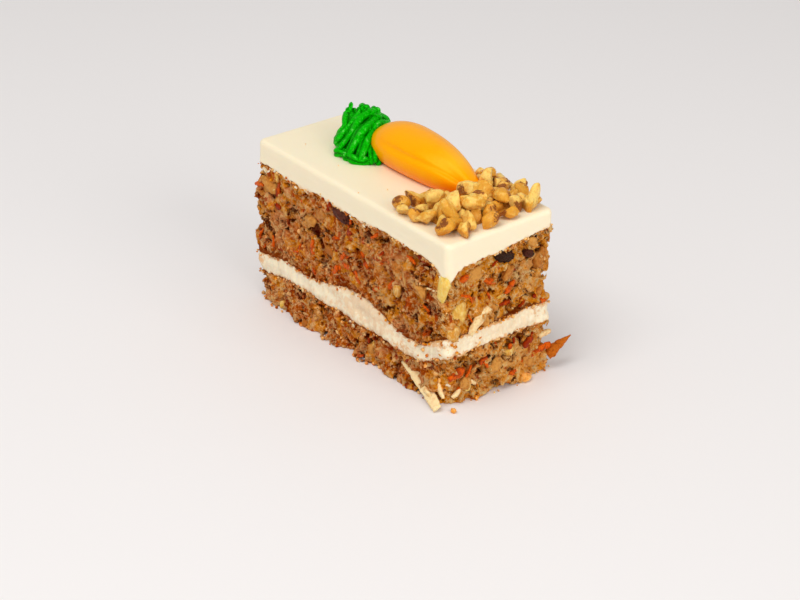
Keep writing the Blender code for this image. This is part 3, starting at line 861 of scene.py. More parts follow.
def leaf_path(number, stations=26):
    """One rope, from its foot in front, over its top, to its foot behind: a parabola through the three."""
    share = number / (LEAF_COUNT - 1)
    front = on_icing(*on_ellipse(LEAF_FEET_CENTRE, LEAF_FEET_REACH, LEAF_FEET_BEARINGS, share), LEAF_FOOT_HEIGHT)
    back = on_icing(*on_ellipse(LEAF_BACK_CENTRE, LEAF_BACK_REACH, LEAF_BACK_BEARINGS, share), LEAF_FOOT_HEIGHT)
    crown = math.sin(math.pi * share)
    top_height = LEAF_TOP_HEIGHT - LEAF_TOP_FALL * share + LEAF_TOP_CROWN * crown
    top = on_icing(LEAF_FIRST_TOP_X + LEAF_TOP_PITCH * number, LEAF_TOP_Y + LEAF_TOP_FAN * crown, top_height)
    control = 2 * top - (front + back) / 2
    path = []
    for i in range(stations):
        t = i / (stations - 1)
        path.append(front * (1 - t) ** 2 + control * 2 * t * (1 - t) + back * t**2)
    return path


def rope_tree():
    """Sweeps a fluted section along curves, as thick as each point's radius says."""
    graph = geometry_graph("piped_rope")
    source = graph.input("Geometry in", "NodeSocketGeometry")
    ridges = graph.input("Ridges", "NodeSocketFloat")
    flute = graph.input("Flute", "NodeSocketFloat")
    material = graph.input("Material", "NodeSocketMaterial")
    circle = graph.add("GeometryNodeCurvePrimitiveCircle", {"mode": "RADIUS"}, {"Resolution": 48, "Radius": 1.0})
    turn = graph.add("GeometryNodeSplineParameter").other("Factor") * math.tau
    wave = size_of(sine(turn * ridges / 2))
    grow_by = graph.scaled(graph.add("GeometryNodeInputPosition"), (wave - 0.55) * flute)
    section = graph.add("GeometryNodeSetPosition", None, {"Geometry": circle, "Offset": grow_by})
    section = graph.keep(section, "ridge", wave)
    radius = graph.add("GeometryNodeInputRadius")
    sockets = {"Curve": source, "Profile Curve": section, "Scale": radius, "Fill Caps": True}
    swept = graph.add("GeometryNodeCurveToMesh", None, sockets)
    swept = graph.add("GeometryNodeSetShadeSmooth", None, {"Geometry": swept, "Shade Smooth": True})
    graph.finish(swept, material)
    return graph


def rope_curves(settings):
    """The curves of the piped leaves: ropes that curl at their feet, and tips that the nozzle pulled."""
    generator = random.Random(8)
    curves = bpy.data.curves.new("leaf_ropes", "CURVE")
    curves.dimensions = "3D"
    radius = settings.rope / MM
    for number in range(LEAF_COUNT):
        path = leaf_path(number)
        last = len(path) - 1
        bend = LEAF_BENDS[number]
        radii = []
        for i in range(len(path)):
            t = i / last
            path[i] = path[i] + Vector((bend, -0.2 * bend, 0)) * math.sin(math.pi * min(t * 2.4, 1))
            end = min(t, 1 - t) * last
            round_end = math.sqrt(max(1 - max(1 - (end + 0.25) / 2.2, 0) ** 2, 0.02))
            path[i] = path[i] + Vector((0.45 * math.sin(13 * t + 3 * number), 0, 0.3 * math.sin(19 * t + number)))
            wobble = 1 + 0.15 * math.sin(9 * t + 2 * number) + 0.09 * math.sin(23 * t + number)
            radii.append(radius * (0.78 + 0.1 * math.sin(math.pi * t)) * round_end * wobble)
        add_rope(curves, path, radii)
        add_curls(curves, path, generator)
    add_foot_rope(curves)
    heart = [on_icing(-28.5 + 1.1 * i, 4.8 - 0.2 * i, 3.0) for i in range(10)]
    add_rope(curves, heart, [3.9 * math.sqrt(1 - (abs(i - 4.5) / 5) ** 2) for i in range(10)])
    for number, station, reach, size, lean in LEAF_TIPS:
        root_point = leaf_path(number)[station] - Vector((0, 0, 1.6))
        path = []
        radii = []
        for i in range(12):
            t = i / 11
            sway = Vector((lean * t * t, 0.6 * lean * math.sin(4 * t), reach * t))
            path.append(root_point + sway)
            radii.append(size * math.sqrt(max(1 - t**5, 0.04)) * (1 + 0.22 * math.sin(8 * t + number)))
        add_rope(curves, path, radii)
    for x, y, height, size in LEAF_KNOBS:
        top = on_icing(x, y, height - 0.6)
        path = [top + Vector((0.35 * i, -0.3 * i, 0.5 * i - 0.06 * i * i)) for i in range(-3, 4)]
        add_rope(curves, path, [size * share for share in (0.5, 0.85, 1.0, 1.05, 1.0, 0.8, 0.3)])
    return curves


# How far each rope sways, and the tips and knobs that the nozzle left as it pulled away, in millimetres
LEAF_BENDS = (2.6, 1.2, -0.4, 0.7, -0.5, 0.2)
LEAF_TIPS = (
    (0, 11, 4.2, 1.3, -1.2),
    (0, 13, 5.8, 0.9, -1.0),
    (0, 16, 4.0, 1.5, -0.8),
    (1, 11, 4.4, 1.5, 1.0),
    (1, 13, 5.0, 1.9, 1.2),
    (1, 16, 4.2, 1.5, -1.0),
    (2, 12, 4.2, 1.7, -0.9),
    (2, 15, 4.4, 1.5, 1.2),
    (3, 12, 4.0, 1.4, 1.4),
    (3, 15, 4.0, 1.5, -0.8),
    (4, 13, 3.8, 1.4, 1.2),
    (5, 12, 3.6, 1.3, 1.0),
)
LEAF_RIM_REACH = (11.0, 10.6)
LEAF_RIM_BEARINGS = (226, 322)
LEAF_RIM_RADIUS = 1.3
LEAF_KNOBS = (
    (-19.2, 2.0, 8.2, 1.3),
    (-20.9, 5.0, 9.6, 1.3),
    (-21.2, 9.0, 7.9, 1.5),
    (-18.0, -0.8, 5.6, 1.2),
    (-27.5, 6.0, 9.6, 1.4),
)


def add_foot_rope(curves, stations=40):
    """The rope that runs round in front of the others' feet, thick and thin by turns."""
    path = []
    radii = []
    for i in range(stations):
        t = i / (stations - 1)
        x, y = on_ellipse(LEAF_FEET_CENTRE, LEAF_RIM_REACH, LEAF_RIM_BEARINGS, t)
        sway = Vector((0.5 * math.sin(17 * t), 0.5 * math.cos(13 * t), 0.35 * math.sin(21 * t)))
        path.append(on_icing(x, y, 1.2) + sway)
        radii.append(LEAF_RIM_RADIUS * (1 + 0.22 * math.sin(29 * t)) * math.sqrt(max(1 - abs(2 * t - 1) ** 7, 0.04)))
    add_rope(curves, path, radii)


def add_curls(curves, path, generator):
    """The curled foot of one rope: two short lobes that spread on the icing in front of it."""
    foot = path[0]
    outward = (path[0] - path[3]) * Vector((1, 1, 0))
    outward.normalize()
    across = Vector((-outward.y, outward.x, 0))
    for side in (-1, 1):
        start = foot + across * side * 1.1 - outward * 1.8
        reach = generator.uniform(0.2, 1.1)
        lobe = []
        for i in range(7):
            t = i / 6
            curl = Vector((0, 0, -0.2 + 0.9 * t * t))
            lobe.append(start + outward * (reach * 1.6 * t) + across * side * (0.8 * t) + curl)
        add_rope(curves, lobe, [1.3 * share for share in (0.7, 1.0, 1.05, 1.0, 0.9, 0.7, 0.3)])


def add_rope(curves, path, radii):
    spline = curves.splines.new("POLY")
    spline.points.add(len(path) - 1)
    for point, place, radius in zip(spline.points, path, radii):
        point.co = (*(place * MM), 1)
        point.radius = radius * MM


def ball(subdivisions):
    """Points and faces of a ball of radius 1."""
    bm = bmesh.new()
    bmesh.ops.create_icosphere(bm, subdivisions=subdivisions, radius=1)
    points = np.array([v.co[:] for v in bm.verts])
    faces = [tuple(v.index for v in f.verts) for f in bm.faces]
    bm.free()
    return points, faces


class Heap:
    """Many small closed shapes that become one mesh. Each has a tone, and a skin that runs over one side of it."""

    def __init__(self):
        self.points = []
        self.faces = []
        self.tones = []
        self.skins = []
        self.count = 0

    def add(self, points, faces, tone, skin=0.0):
        self.points.append(points)
        self.faces.extend(tuple(i + self.count for i in face) for face in faces)
        self.tones.append(np.full(len(points), tone))
        self.skins.append(np.broadcast_to(skin, len(points)))
        self.count += len(points)

    def piece(self, name, material, smooth=True):
        marks = {"tone": np.concatenate(self.tones), "skin": np.concatenate(self.skins)}
        return make_piece(name, np.concatenate(self.points), self.faces, material, marks, smooth)


def random_direction(generator):
    z = generator.uniform(-1, 1)
    angle = generator.uniform(0, math.tau)
    flat = math.sqrt(1 - z * z)
    return np.array((flat * math.cos(angle), flat * math.sin(angle), z))


def chopped(points, generator, cuts, nearest=0.55, farthest=0.85):
    """Flattens a ball where a knife or a break has taken a side off."""
    for _ in range(cuts):
        direction = random_direction(generator)
        over = points @ direction - generator.uniform(nearest, farthest)
        points = points - np.outer(np.maximum(over, 0) * 0.94, direction)
    return points


def roughened(points, pitch, depth, seed):
    """Pushes a ball's points in and out by noise."""
    return points * (1 + depth * soft_noise(points, pitch, seed)).reshape(-1, 1)


def turned(points, rotation):
    return points @ np.array(rotation).T


def under_carrot(x, y):
    """Whether a lump at this place would stand in the piped carrot."""
    share = (x - CARROT_START_X) / (CARROT_END_X - CARROT_START_X)
    if share < 0 or share > 1:
        return False
    return abs(y - CARROT_Y) < CARROT_HALF_WIDTH * carrot_profile(share) + NUT_CARROT_MARGIN


def nut_places(generator):
    """Lumps in rows across the nut end, alternate rows shifted by half a lump, and a few more on top."""
    for row in range(NUT_ROWS):
        across = NUT_BAND_Y - NUT_HALF_BAND + 2 * NUT_HALF_BAND * row / (NUT_ROWS - 1)
        for column in range(NUT_COLUMNS):
            share = (column + 0.5 * (row % 2)) / (NUT_COLUMNS - 0.5)
            along = NUT_FIRST_X + (NUT_LAST_X - NUT_FIRST_X) * share
            x = along + generator.uniform(-NUT_STRAY, NUT_STRAY)
            y = across + generator.uniform(-NUT_STRAY, NUT_STRAY)
            height = generator.uniform(*NUT_LIFT)
            if not under_carrot(x, y):
                yield on_icing(x, y, height)
    for step in range(NUT_UPPER_COUNT):
        share = (step + 0.5) / NUT_UPPER_COUNT
        x = (NUT_FIRST_X + NUT_LAST_X) / 2 + generator.uniform(-NUT_UPPER_STRAY, NUT_UPPER_STRAY)
        y = NUT_BAND_Y + NUT_HALF_BAND * 0.8 * (2 * share - 1)
        height = generator.uniform(*NUT_UPPER_LIFT)
        if not under_carrot(x, y):
            yield on_icing(x, y, height)


def nut_heap():
    """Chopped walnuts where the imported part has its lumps, each with its own breaks."""
    generator = random.Random(NUT_SEED)
    shapes = random.Random(5)
    points, faces = ball(4)
    heap = Heap()
    for number, place in enumerate(nut_places(generator)):
        shares = [generator.uniform(*share) for share in NUT_SHARES]
        turn = Matrix.Rotation(generator.uniform(0, math.tau), 3, "Z")
        tip = Matrix.Rotation(generator.uniform(-0.9, 0.9), 3, "Y")
        for _ in range(12):
            generator.uniform(0.82, 1.15)
        skin = points @ np.array(NUT_CAPS.get(number, random_direction(shapes)))
        stretch = shapes.uniform(0.9, 1.3)
        nut = chopped(points * (1.15 * stretch, 1.08 / stretch, 1.08), shapes, shapes.randint(3, 6), 0.5, 0.85)
        nut = roughened(nut, 0.8, 0.16, number)
        nut = nut * (1 + 0.05 * soft_noise(points, 0.3, number, (3, 1, 1))).reshape(-1, 1)
        if number in NUT_CAPS:
            nut = roughened(points, 1.2, 0.1, number)
        shaped = turned(nut * np.array(shares) * NUT_SIZE, turn @ tip) + np.array(place)
        shaped[:, 2] = np.maximum(shaped[:, 2], icing_top(shaped[:, 0], shaped[:, 1]) - 0.2)
        heap.add(shaped, faces, shapes.random(), skin)
    sliver = roughened(chopped(points, shapes, 3), 0.8, 0.12, 90) * SLIVER_HALF_SIZE
    heap.add(turned(sliver, Matrix.Rotation(-0.25, 3, "X")) + np.array(on_icing(*SLIVER_PLACE)), faces, 0.9)
    return heap


# The whole round pieces, and which way the cap of dark skin faces on each
NUT_CAPS = {0: (-0.55, -0.25, 0.8)}

# A tall thin piece that stands at the back of the heap
SLIVER_PLACE = (48.2, 16.4, 4.6)
SLIVER_HALF_SIZE = (1.5, 2.3, 4.9)


def nut_core():
    """The hidden middle of the heap, below what shows."""
    points, faces = ball(3)
    boxed = np.sign(points) * np.abs(points) ** 0.35
    reach = np.array((NUT_CORE_HALF_LENGTH * 0.9, NUT_HALF_BAND - 2.5, NUT_CORE_HEIGHT * 0.8))
    middle = np.array(on_icing((NUT_FIRST_X + NUT_LAST_X) / 2, NUT_BAND_Y, 0.3))
    return boxed * reach + middle, faces


# Sides of the slice: name, and how often a scattered bit falls on it
SIDES = (("front", 104), ("end", 45), ("back", 104), ("start", 45))


def wall_point(side, along, z, proud, craggy=True):
    """A point on the broken crumb of one side, or on its smooth cream, and the outward direction there."""
    spots = {
        "front": ((along, -HALF_WIDTH), (0, -1)),
        "end": ((HALF_LENGTH, along), (1, 0)),
        "back": ((-along, HALF_WIDTH), (0, 1)),
        "start": ((-HALF_LENGTH, -along), (-1, 0)),
    }
    (x, y), (out_x, out_y) = spots[side]
    push = proud + (float(crags(x, y, z)) if craggy else 0)
    x += out_x * push
    y += out_y * push
    dx, dy = slump(x, y, z)
    return Vector((x + float(dx), y + float(dy), z)), Vector((out_x, out_y, 0))


def wall_turn(outward, angle, lean=0.0):
    """Axes of a bit that lies in the cut: along it at an angle from level, across it, and outwards."""
    level = Vector((0, 0, 1)).cross(outward)
    along = level * math.cos(angle) + Vector((0, 0, 1)) * math.sin(angle) + outward * lean
    along.normalize()
    across = outward.cross(along).normalized()
    return Matrix((along, across, along.cross(across))).transposed()


def random_wall_place(generator, margin=2.0):
    """A place on the crumb of any side, clear of the filling and the icing."""
    while True:
        side, length = generator.choices(SIDES, [share for _, share in SIDES])[0]
        along = generator.uniform(-length / 2 + 1, length / 2 - 1)
        z = generator.uniform(0.8, ICING_FLOOR)
        point, outward = wall_point(side, along, z, 0)
        x, y = point.x, point.y
        low = float(filling_floor(x, y))
        high = float(filling_ceiling(x, y))
        top = float(icing_floor(x, y))
        if (z < low - margin) or (high + margin < z < top - margin):
            return side, along, z


def shred_shape(generator, length, width, thickness, steps=9):
    """A grated shred: a bent strip with rounded edges, wider in its middle, along its own X."""
    bend = generator.uniform(-0.35, 0.35)
    curl = generator.uniform(-0.8, 0.8)
    rings = []
    for i in range(steps + 1):
        t = i / steps
        taper = 0.45 + 0.55 * math.sin(math.pi * min(max(t, 0.04), 0.96)) ** 0.4
        taper *= generator.uniform(0.6, 1.25) if steps < 12 else generator.uniform(0.9, 1.1)
        ring = []
        for k in range(8):
            angle = math.tau * k / 8 + curl * (t - 0.5)
            square = max(abs(math.cos(angle)), abs(math.sin(angle))) ** 0.6
            ring.append(
                (
                    (t - 0.5) * length,
                    math.cos(angle) / square * width / 2 * taper + bend * length * (t - 0.5) ** 2,
                    math.sin(angle) / square * thickness / 2 * taper,
                )
            )
        rings.append(np.array(ring))
    rings = [rings[0] * (1, 0.05, 0.05)] + rings + [rings[-1] * (1, 0.05, 0.05)]
    return join_rings(rings)


def place_in_wall(points, side, along, z, angle, proud, lean=0.0):
    """Puts a bit into the cut at an angle from level, never through the table."""
    spot, outward = wall_point(side, along, z, proud)
    placed = turned(points, wall_turn(outward, angle, lean)) + np.array(spot)
    placed[:, 2] = np.maximum(placed[:, 2], 0.02)
    return placed


# Bits that show at the two cuts nearest the camera: side, place along it, height, then their sizes
SHREDS_SEEN = (
    ("front", -50, 44.5, 5.0, 1.5, 15, 0.3),
    ("front", -41.5, 44.0, 8.0, 1.8, 80, 0.6),
    ("front", -39.6, 39.5, 2.8, 2.0, 0, 0.9),
    ("front", -20.3, 32.0, 5.5, 1.6, 85, 0.2),
    ("front", -11.6, 50.4, 4.4, 1.9, 35, 0.9),
    ("front", -2.5, 35.6, 4.0, 1.5, 50, 0.2),
    ("front", -0.6, 44.6, 3.6, 2.2, 60, 1.0),
    ("front", 5.4, 38.7, 4.2, 2.2, 40, 0.2),
    ("front", 9.2, 36.4, 4.0, 1.9, 70, 0.3),
    ("front", 21.0, 33.6, 5.2, 1.7, 50, 0.2),
    ("front", 15.6, 30.6, 3.8, 1.5, 30, 0.6),
    ("front", 32.8, 48.4, 4.5, 1.4, -10, 0.2),
    ("front", 38.2, 50.4, 4.8, 1.7, 0, 1.0),
    ("front", -7.2, 28.2, 4.4, 1.7, 60, 0.1),
    ("front", -1.4, 31.8, 5.4, 1.8, 5, 0.1),
    ("front", 5.0, 30.6, 4.2, 1.6, -50, 0.2),
    ("end", -18.0, 12.0, 6.0, 3.4, 20, 0.5),
    ("end", -14.9, 46.0, 4.0, 1.8, 20, 0.1),
    ("end", -3.5, 41.6, 4.6, 1.8, -30, 0.1),
    ("end", 4.4, 37.4, 5.0, 1.8, 50, 0.3),
    ("end", 19.3, 27.8, 4.0, 1.8, 10, 0.2),
    ("end", 3.5, 31.0, 4.0, 1.6, 0, 0.9),
    ("end", -7.4, 14.6, 3.2, 1.8, 30, 0.8),
    ("end", 18.8, 9.4, 7.5, 2.4, 12, 0.2),
    ("end", 12.3, 14.4, 4.0, 2.4, 40, 1.0),
    ("end", 3.8, 4.4, 6.5, 2.2, 25, 0.5),
)
RAISINS_SEEN = (("front", -5.0, 49.8, 4.6, 2.6), ("end", 1.8, 49.6, 4.4, 2.6), ("end", 11.8, 47.6, 1.9, 1.6))
WALNUTS_SEEN = (
    ("front", -46.6, 45.0, 4.6),
    ("front", -15.5, 46, 3.8),
    ("front", -22, 41, 3.4),
    ("front", 9, 42, 3.0),
    ("front", -12, 33, 2.6),
    ("front", 38.3, 39.7, 2.8),
    ("end", -9, 46.4, 3.6),
    ("end", 3.3, 43.2, 2.8),
    ("end", 13, 51.0, 2.4),
    ("end", 17, 43.8, 3.3),
    ("end", 17, 31, 2.0),
    ("end", -2, 32, 2.0),
    ("front", -40, 5, 2.5),
    ("front", -18, 6, 2.6),
    ("front", 12, 6.2, 3.0),
    ("end", -14, 7.5, 2.8),
    ("end", -2, 10.5, 2.8),
    ("end", 14, 5.8, 2.8),
)
FRUIT_SEEN = (
    ("front", 49.6, 44.6, 2.9, 5.6),
    ("end", -16.0, 34.2, 3.4, 5.6),
    ("end", -20.0, 29.0, 2.6, 3.4),
    ("front", -2.4, 14.6, 1.5, 2.8),
    ("end", 1.0, 34.4, 1.4, 1.1),
    ("end", 5.7, 12.6, 2.6, 1.9),
)
COCONUT_SEEN = (
    ("end", -9.2, 29.9, 11.0, 4.0, 46),
    ("front", 44.0, 3.6, 5.0, 2.2, -30),
    ("front", 49.0, 5.4, 5.5, 2.0, -55),
    ("end", -18.5, 4.2, 4.0, 1.8, 35),
    ("front", -28.0, 13.2, 4.0, 1.3, -60),
    ("end", 21.6, 13.8, 5.0, 2.2, 8),
)
CREAM_SEEN = (("front", -47.6, 50.6, 1.2), ("front", 31.8, 52.4, 1.6), ("front", 51, 8.0, 0.9))

# Two long shreds that stand clear of the sponge
COCONUT_ENDS = ((50.5, -24.2, 1.9), (27, -19.8, 7.6))
COCONUT_ACROSS = (0.2, 0.6, 0.45)
COCONUT_SECTION = (4.8, 1.3)
COCONUT_TAPER = 0.4
CARROT_SHRED_ENDS = ((51.6, 21.8, 6.0), (54, 30.3, 11.6))
CARROT_SHRED_ACROSS = (-1, 0, 1)
CARROT_SHRED_SECTION = (5.6, 1.8)
CARROT_SHRED_TAPER = 0.9
BROWNED = 2.0


def long_shred(ends, across, section, taper, seed):
    """A long flat shred between two points, slightly bent, narrower at its far end and ragged along its edges."""
    start, end = (np.array(corner, float) for corner in ends)
    length = np.linalg.norm(end - start)
    along = (end - start) / length
    side = np.array(across, float)
    side -= along * (along @ side)
    side /= np.linalg.norm(side)
    normal = np.cross(along, side)
    points, faces = shred_shape(random.Random(seed), length, section[0], section[1], 26)
    share = np.clip(points[:, 0] / length + 0.5, 0, 1)
    belly = np.sin(np.pi * share)
    ragged = (1 + 0.12 * soft_noise(points * (1, 0, 0), 1.6, seed)) * (1 - taper * share)
    middle = (start + end) / 2
    out = np.outer(points[:, 2] + 0.5 * belly, normal)
    return middle + np.outer(points[:, 0], along) + np.outer(points[:, 1] * ragged, side) + out, faces


def shred_heap(settings):
    """Carrot shreds in the crumb, tone 0 being bright orange, 1 dark red and BROWNED brown."""
    generator = random.Random(21)
    heap = Heap()
    for side, along, z, length, width, angle, tone in SHREDS_SEEN:
        points, faces = shred_shape(generator, length * 1.1, width * 1.1, 1.2)
        proud = generator.uniform(-0.25, 0.15)
        heap.add(place_in_wall(points, side, along, z, math.radians(angle), proud, 0.08), faces, tone)
    for _ in range(settings.shreds):
        side, along, z = random_wall_place(generator, 0.8)
        length = generator.uniform(1.6, 4.6)
        points, faces = shred_shape(generator, length, generator.uniform(0.7, 1.4), 1.0, 6)
        angle = generator.uniform(0, math.pi)
        proud = generator.uniform(-0.6, 0.25)
        placed = place_in_wall(points, side, along, z, angle, proud, generator.uniform(-0.5, 0.5))
        heap.add(placed, faces, generator.random())
    long_one = long_shred(CARROT_SHRED_ENDS, CARROT_SHRED_ACROSS, CARROT_SHRED_SECTION, CARROT_SHRED_TAPER, 4)
    heap.add(*long_one, BROWNED)
    return heap


def walnut_bits(settings):
    generator = random.Random(33)
    points, faces = ball(3)
    heap = Heap()
    places = [(*seen, 0.0) for seen in WALNUTS_SEEN]
    for _ in range(settings.walnuts):
        places.append((*random_wall_place(generator), generator.uniform(1.0, 2.4), -0.35))
    for number, (side, along, z, size, sink) in enumerate(places):
        shares = (generator.uniform(0.9, 1.3), generator.uniform(0.6, 0.95), 0.62)
        bit = roughened(chopped(points, generator, 5), 0.6, 0.42, number)
        bit = roughened(bit, 0.25, 0.14, number) * np.array(shares) * size
        angle = generator.uniform(0, math.pi)
        heap.add(place_in_wall(bit, side, along, z, angle, sink - 0.2 * size), faces, generator.random())
    return heap


def raisin_bits(settings):
    """Raisins: flattened, deeply wrinkled."""
    generator = random.Random(12)
    points, faces = ball(4)
    heap = Heap()
    places = list(RAISINS_SEEN)
    for _ in range(settings.raisins):
        side, along, z = random_wall_place(generator, 3.5)
        if (side == "back" and abs(along) < 38) or (side == "start" and abs(along) < 14):
            places.append((side, along, z, generator.uniform(2.2, 3.4), generator.uniform(1.4, 2.0)))
    for number, (side, along, z, half_length, half_height) in enumerate(places):
        folds = np.abs(soft_noise(points, 0.42, number, (2.2, 1, 1))) ** 0.7
        wrinkled = points * (1.1 - 0.5 * folds + 0.25 * soft_noise(points, 0.9, number)).reshape(-1, 1)
        bit = wrinkled * (half_length, half_height, 1.7)
        heap.add(place_in_wall(bit, side, along, z, math.radians(-20), -0.2), faces, generator.random())
    return heap


def fruit_bits(settings):
    """Moist bits of pineapple: blocks with rounded edges and a fibrous grain."""
    generator = random.Random(44)
    points, faces = ball(3)
    heap = Heap()
    places = list(FRUIT_SEEN)
    for _ in range(settings.fruit):
        places.append((*random_wall_place(generator), generator.uniform(0.8, 2.0), generator.uniform(0.8, 2.6)))
    for number, (side, along, z, half_width, half_height) in enumerate(places):
        block = chopped(points, generator, 4)
        ridges = 0.16 * soft_noise(points, 0.3, number, (1, 4, 1)) + 0.25 * soft_noise(points, 0.8, number + 0.5)
        bit = block * (1 + ridges).reshape(-1, 1) * (half_width, half_height, 1.5)
        placed = place_in_wall(bit, side, along, z, generator.uniform(-0.3, 0.3), -0.5)
        heap.add(placed, faces, 0.1 if number == 0 else generator.uniform(0.4, 1.0))
    return heap


def coconut_bits(settings):
    generator = random.Random(55)
    heap = Heap()
    heap.add(*long_shred(COCONUT_ENDS, COCONUT_ACROSS, COCONUT_SECTION, COCONUT_TAPER, 7), 0.1)
    for side, along, z, length, width, angle in COCONUT_SEEN:
        points, faces = shred_shape(generator, length, width, 1.2, 14)
        heap.add(place_in_wall(points, side, along, z, math.radians(angle), 0.7, 0.05), faces, 0.3)
    for _ in range(settings.coconut):
        side, along, z = random_wall_place(generator)
        points, faces = shred_shape(generator, generator.uniform(2.5, 6), generator.uniform(0.8, 1.4), 0.8, 8)
        placed = place_in_wall(points, side, along, z, generator.uniform(0, math.pi), -0.2, 0.2)
        heap.add(placed, faces, generator.random())
    return heap


def cream_bits():
    """Small dabs of cream that the knife dragged onto the crumb."""
    generator = random.Random(66)
    points, faces = ball(3)
    heap = Heap()
    places = list(CREAM_SEEN)
    for _ in range(110):
        side, length = generator.choices(SIDES, [share for _, share in SIDES])[0]
        along = generator.uniform(-length / 2 + 2, length / 2 - 2)
        spot, _ = wall_point(side, along, 20, 0, False)
        joint = generator.choice((icing_floor, icing_floor, filling_floor))
        z = float(joint(spot.x, spot.y)) - abs(generator.gauss(0, 0.8))
        places.append((side, along, z, generator.uniform(0.25, 0.8)))
    for number, (side, along, z, size) in enumerate(places):
        bit = roughened(roughened(points, 0.7, 0.7, number), 0.3, 0.3, number)
        bit = bit * (size * generator.uniform(0.8, 2.2), size * generator.uniform(0.4, 0.9), size * 0.4)
        angle = generator.uniform(-0.7, 0.7)
        heap.add(place_in_wall(bit, side, along, z, angle, -0.3), faces, generator.random())
    return heap


def smeared_crumbs(heap, generator, points, faces):
    """Crumbs that the knife dragged onto the cream, most of them round the nearest edge and along the joints."""
    for number in range(520):
        side, length = generator.choices(SIDES, [share for _, share in SIDES])[0]
        along = generator.uniform(-length / 2 + 0.5, length / 2 - 0.5)
        spot, _ = wall_point(side, along, 20, 0, False)
        low = float(filling_floor(spot.x, spot.y))
        high = float(filling_ceiling(spot.x, spot.y))
        edge = float(icing_floor(spot.x, spot.y))
        strayed = abs(generator.gauss(0, 0.7))
        crumbled = near_corner(spot.x, spot.y, 13) > 0.3
        if crumbled and generator.random() < 0.7:
            z = generator.uniform(low - 0.5, high + 0.5)
        else:
            z = generator.choice((low + strayed - 0.4, high - strayed + 0.4, edge + strayed * 0.6 - 0.3))
        spot, _ = wall_point(side, along, z, generator.uniform(-0.3, 0.3), False)
        size = generator.uniform(0.2, 0.55) * (1.3 if crumbled else 1)
        shape = (size, size * generator.uniform(0.6, 1.3), size * generator.uniform(0.5, 1.2))
        heap.add(roughened(points, 0.6, 0.5, number) * shape + np.array(spot), faces, generator.random())


def loose_crumbs():
    """Crumbs that have dropped beside the foot of the slice, specks on the icing, and crumbs on the cream."""
    generator = random.Random(77)
    points, faces = ball(2)
    heap = Heap()
    smeared_crumbs(heap, generator, points, faces)
    spots = [(52.6, 11.5, 1.6, 2.6), (53.5, -20.5, 0.9, 1.2), (-24.5, -25.6, 0.8, 1.0)]
    for _ in range(46):
        side, length = generator.choices(SIDES, [share for _, share in SIDES])[0]
        along = generator.uniform(-length / 2, length / 2)
        spot, outward = wall_point(side, along, 0.4, generator.uniform(0.2, 1.3))
        size = generator.uniform(0.25, 0.75)
        spots.append((spot.x, spot.y, size, size))
    for number, (x, y, height, width) in enumerate(spots):
        crumb = roughened(points, 0.6, 0.35, number) * (width, width * generator.uniform(0.6, 1), height)
        crumb = crumb + (x, y, height * 0.9)
        crumb[:, 2] = np.maximum(crumb[:, 2], 0.02)
        heap.add(crumb, faces, generator.random())
    for x, y in ((-17, -13.5), (4, -21), (-38, -12), (8, -12)):
        crumb = roughened(points, 0.6, 0.35, x) * generator.uniform(0.14, 0.26)
        heap.add(crumb + np.array(on_icing(x, y, 0.1)), faces, 1.0)
    return heap


def new_paint(name):
    """A new material, its graph, and the place on the slice in millimetres."""
    material = bpy.data.materials.new(name)
    material.use_nodes = True
    graph = Graph(material.node_tree)
    place = graph.scaled(graph.add("ShaderNodeTexCoord").other("Object"), 1 / MM)
    return material, graph, place


def mark(graph, name):
    """A number that was kept on the mesh's points."""
    return graph.add("ShaderNodeAttribute", {"attribute_name": name}).other("Fac")


def shade(graph, colour, roughness, height=None, depth=0.3, **constants):
    """Ends a material. height is a relief from 0 to 1, and depth is how many millimetres that is."""
    sockets = {"Base Color": colour, "Roughness": roughness}
    for key, value in constants.items():
        sockets[key.replace("_", " ")] = value
    if height is not None:
        sockets["Normal"] = graph.add("ShaderNodeBump", None, {"Height": height, "Distance": depth * MM, "Strength": 1.0})
    shader = graph.add("ShaderNodeBsdfPrincipled", None, sockets)
    graph.add("ShaderNodeOutputMaterial", None, {"Surface": shader})


# The tint of the light that shines off food with colour and oil in its surface
WARM_GLOSS = (1.0, 0.72, 0.35, 1)
ORANGE_GLOSS = (1.0, 0.7, 0.08, 1)
GREEN_GLOSS = (0.5, 1.0, 0.35, 1)


def soft_inside(weight, reach, tint=(1.0, 0.6, 0.35)):
    """Light that soaks into the food, as constants for its shader."""
    return {"Subsurface_Weight": weight, "Subsurface_Radius": tint, "Subsurface_Scale": reach * MM}


# Parts of the crumb that differ from the rest, and a few painted light: middle, half size, which crumb it is, and how
# plainly
ZONES_SEEN = (
    ((23, -22.5, 42), (11, 6, 7), "mauve", 0.5),
    ((-42, -22.5, 30), (12, 6, 8), "mauve", 0.6),
    ((-30, -22.5, 35), (8, 6, 6), "mauve", 0.55),
    ((4, -22.5, 46), (7, 6, 5), "moist", 0.3),
    ((-27, -22.5, 45), (9, 6, 4), "moist", 0.35),
    ((43, -22.5, 25), (9, 6, 3), "moist", 0.5),
    ((30, -22.5, 31), (8, 6, 3), "dark", 0.5),
    ((46, -22.5, 34), (7, 6, 4), "dark", 0.55),
    ((52, -14, 35), (6, 6, 6), "moist", 0.4),
    ((52, 11, 39), (6, 9, 8), "pale", 0.3),
    ((52, -1, 46), (6, 7, 4), "moist", 0.35),
    # Painted light: these four patches low on the end face lift the crumb there out of its shade.
    ((52, 5, 12), (6, 9, 4), "pale", 0.4),
    ((53, 4, 8), (6, 24, 12), "moist", 0.3),
    ((53, 4, 8), (6, 24, 12), "pale", 0.22),
    ((52, 8, 5), (6, 12, 4), "moist", 0.4),
    ((49, -21, 9), (7, 6, 5), "moist", 0.6),
    ((38, -23, 7), (7, 4, 5), "dark", 0.35),
    ((-20, -23, 8), (22, 6, 4), "dark", 0.3),
)


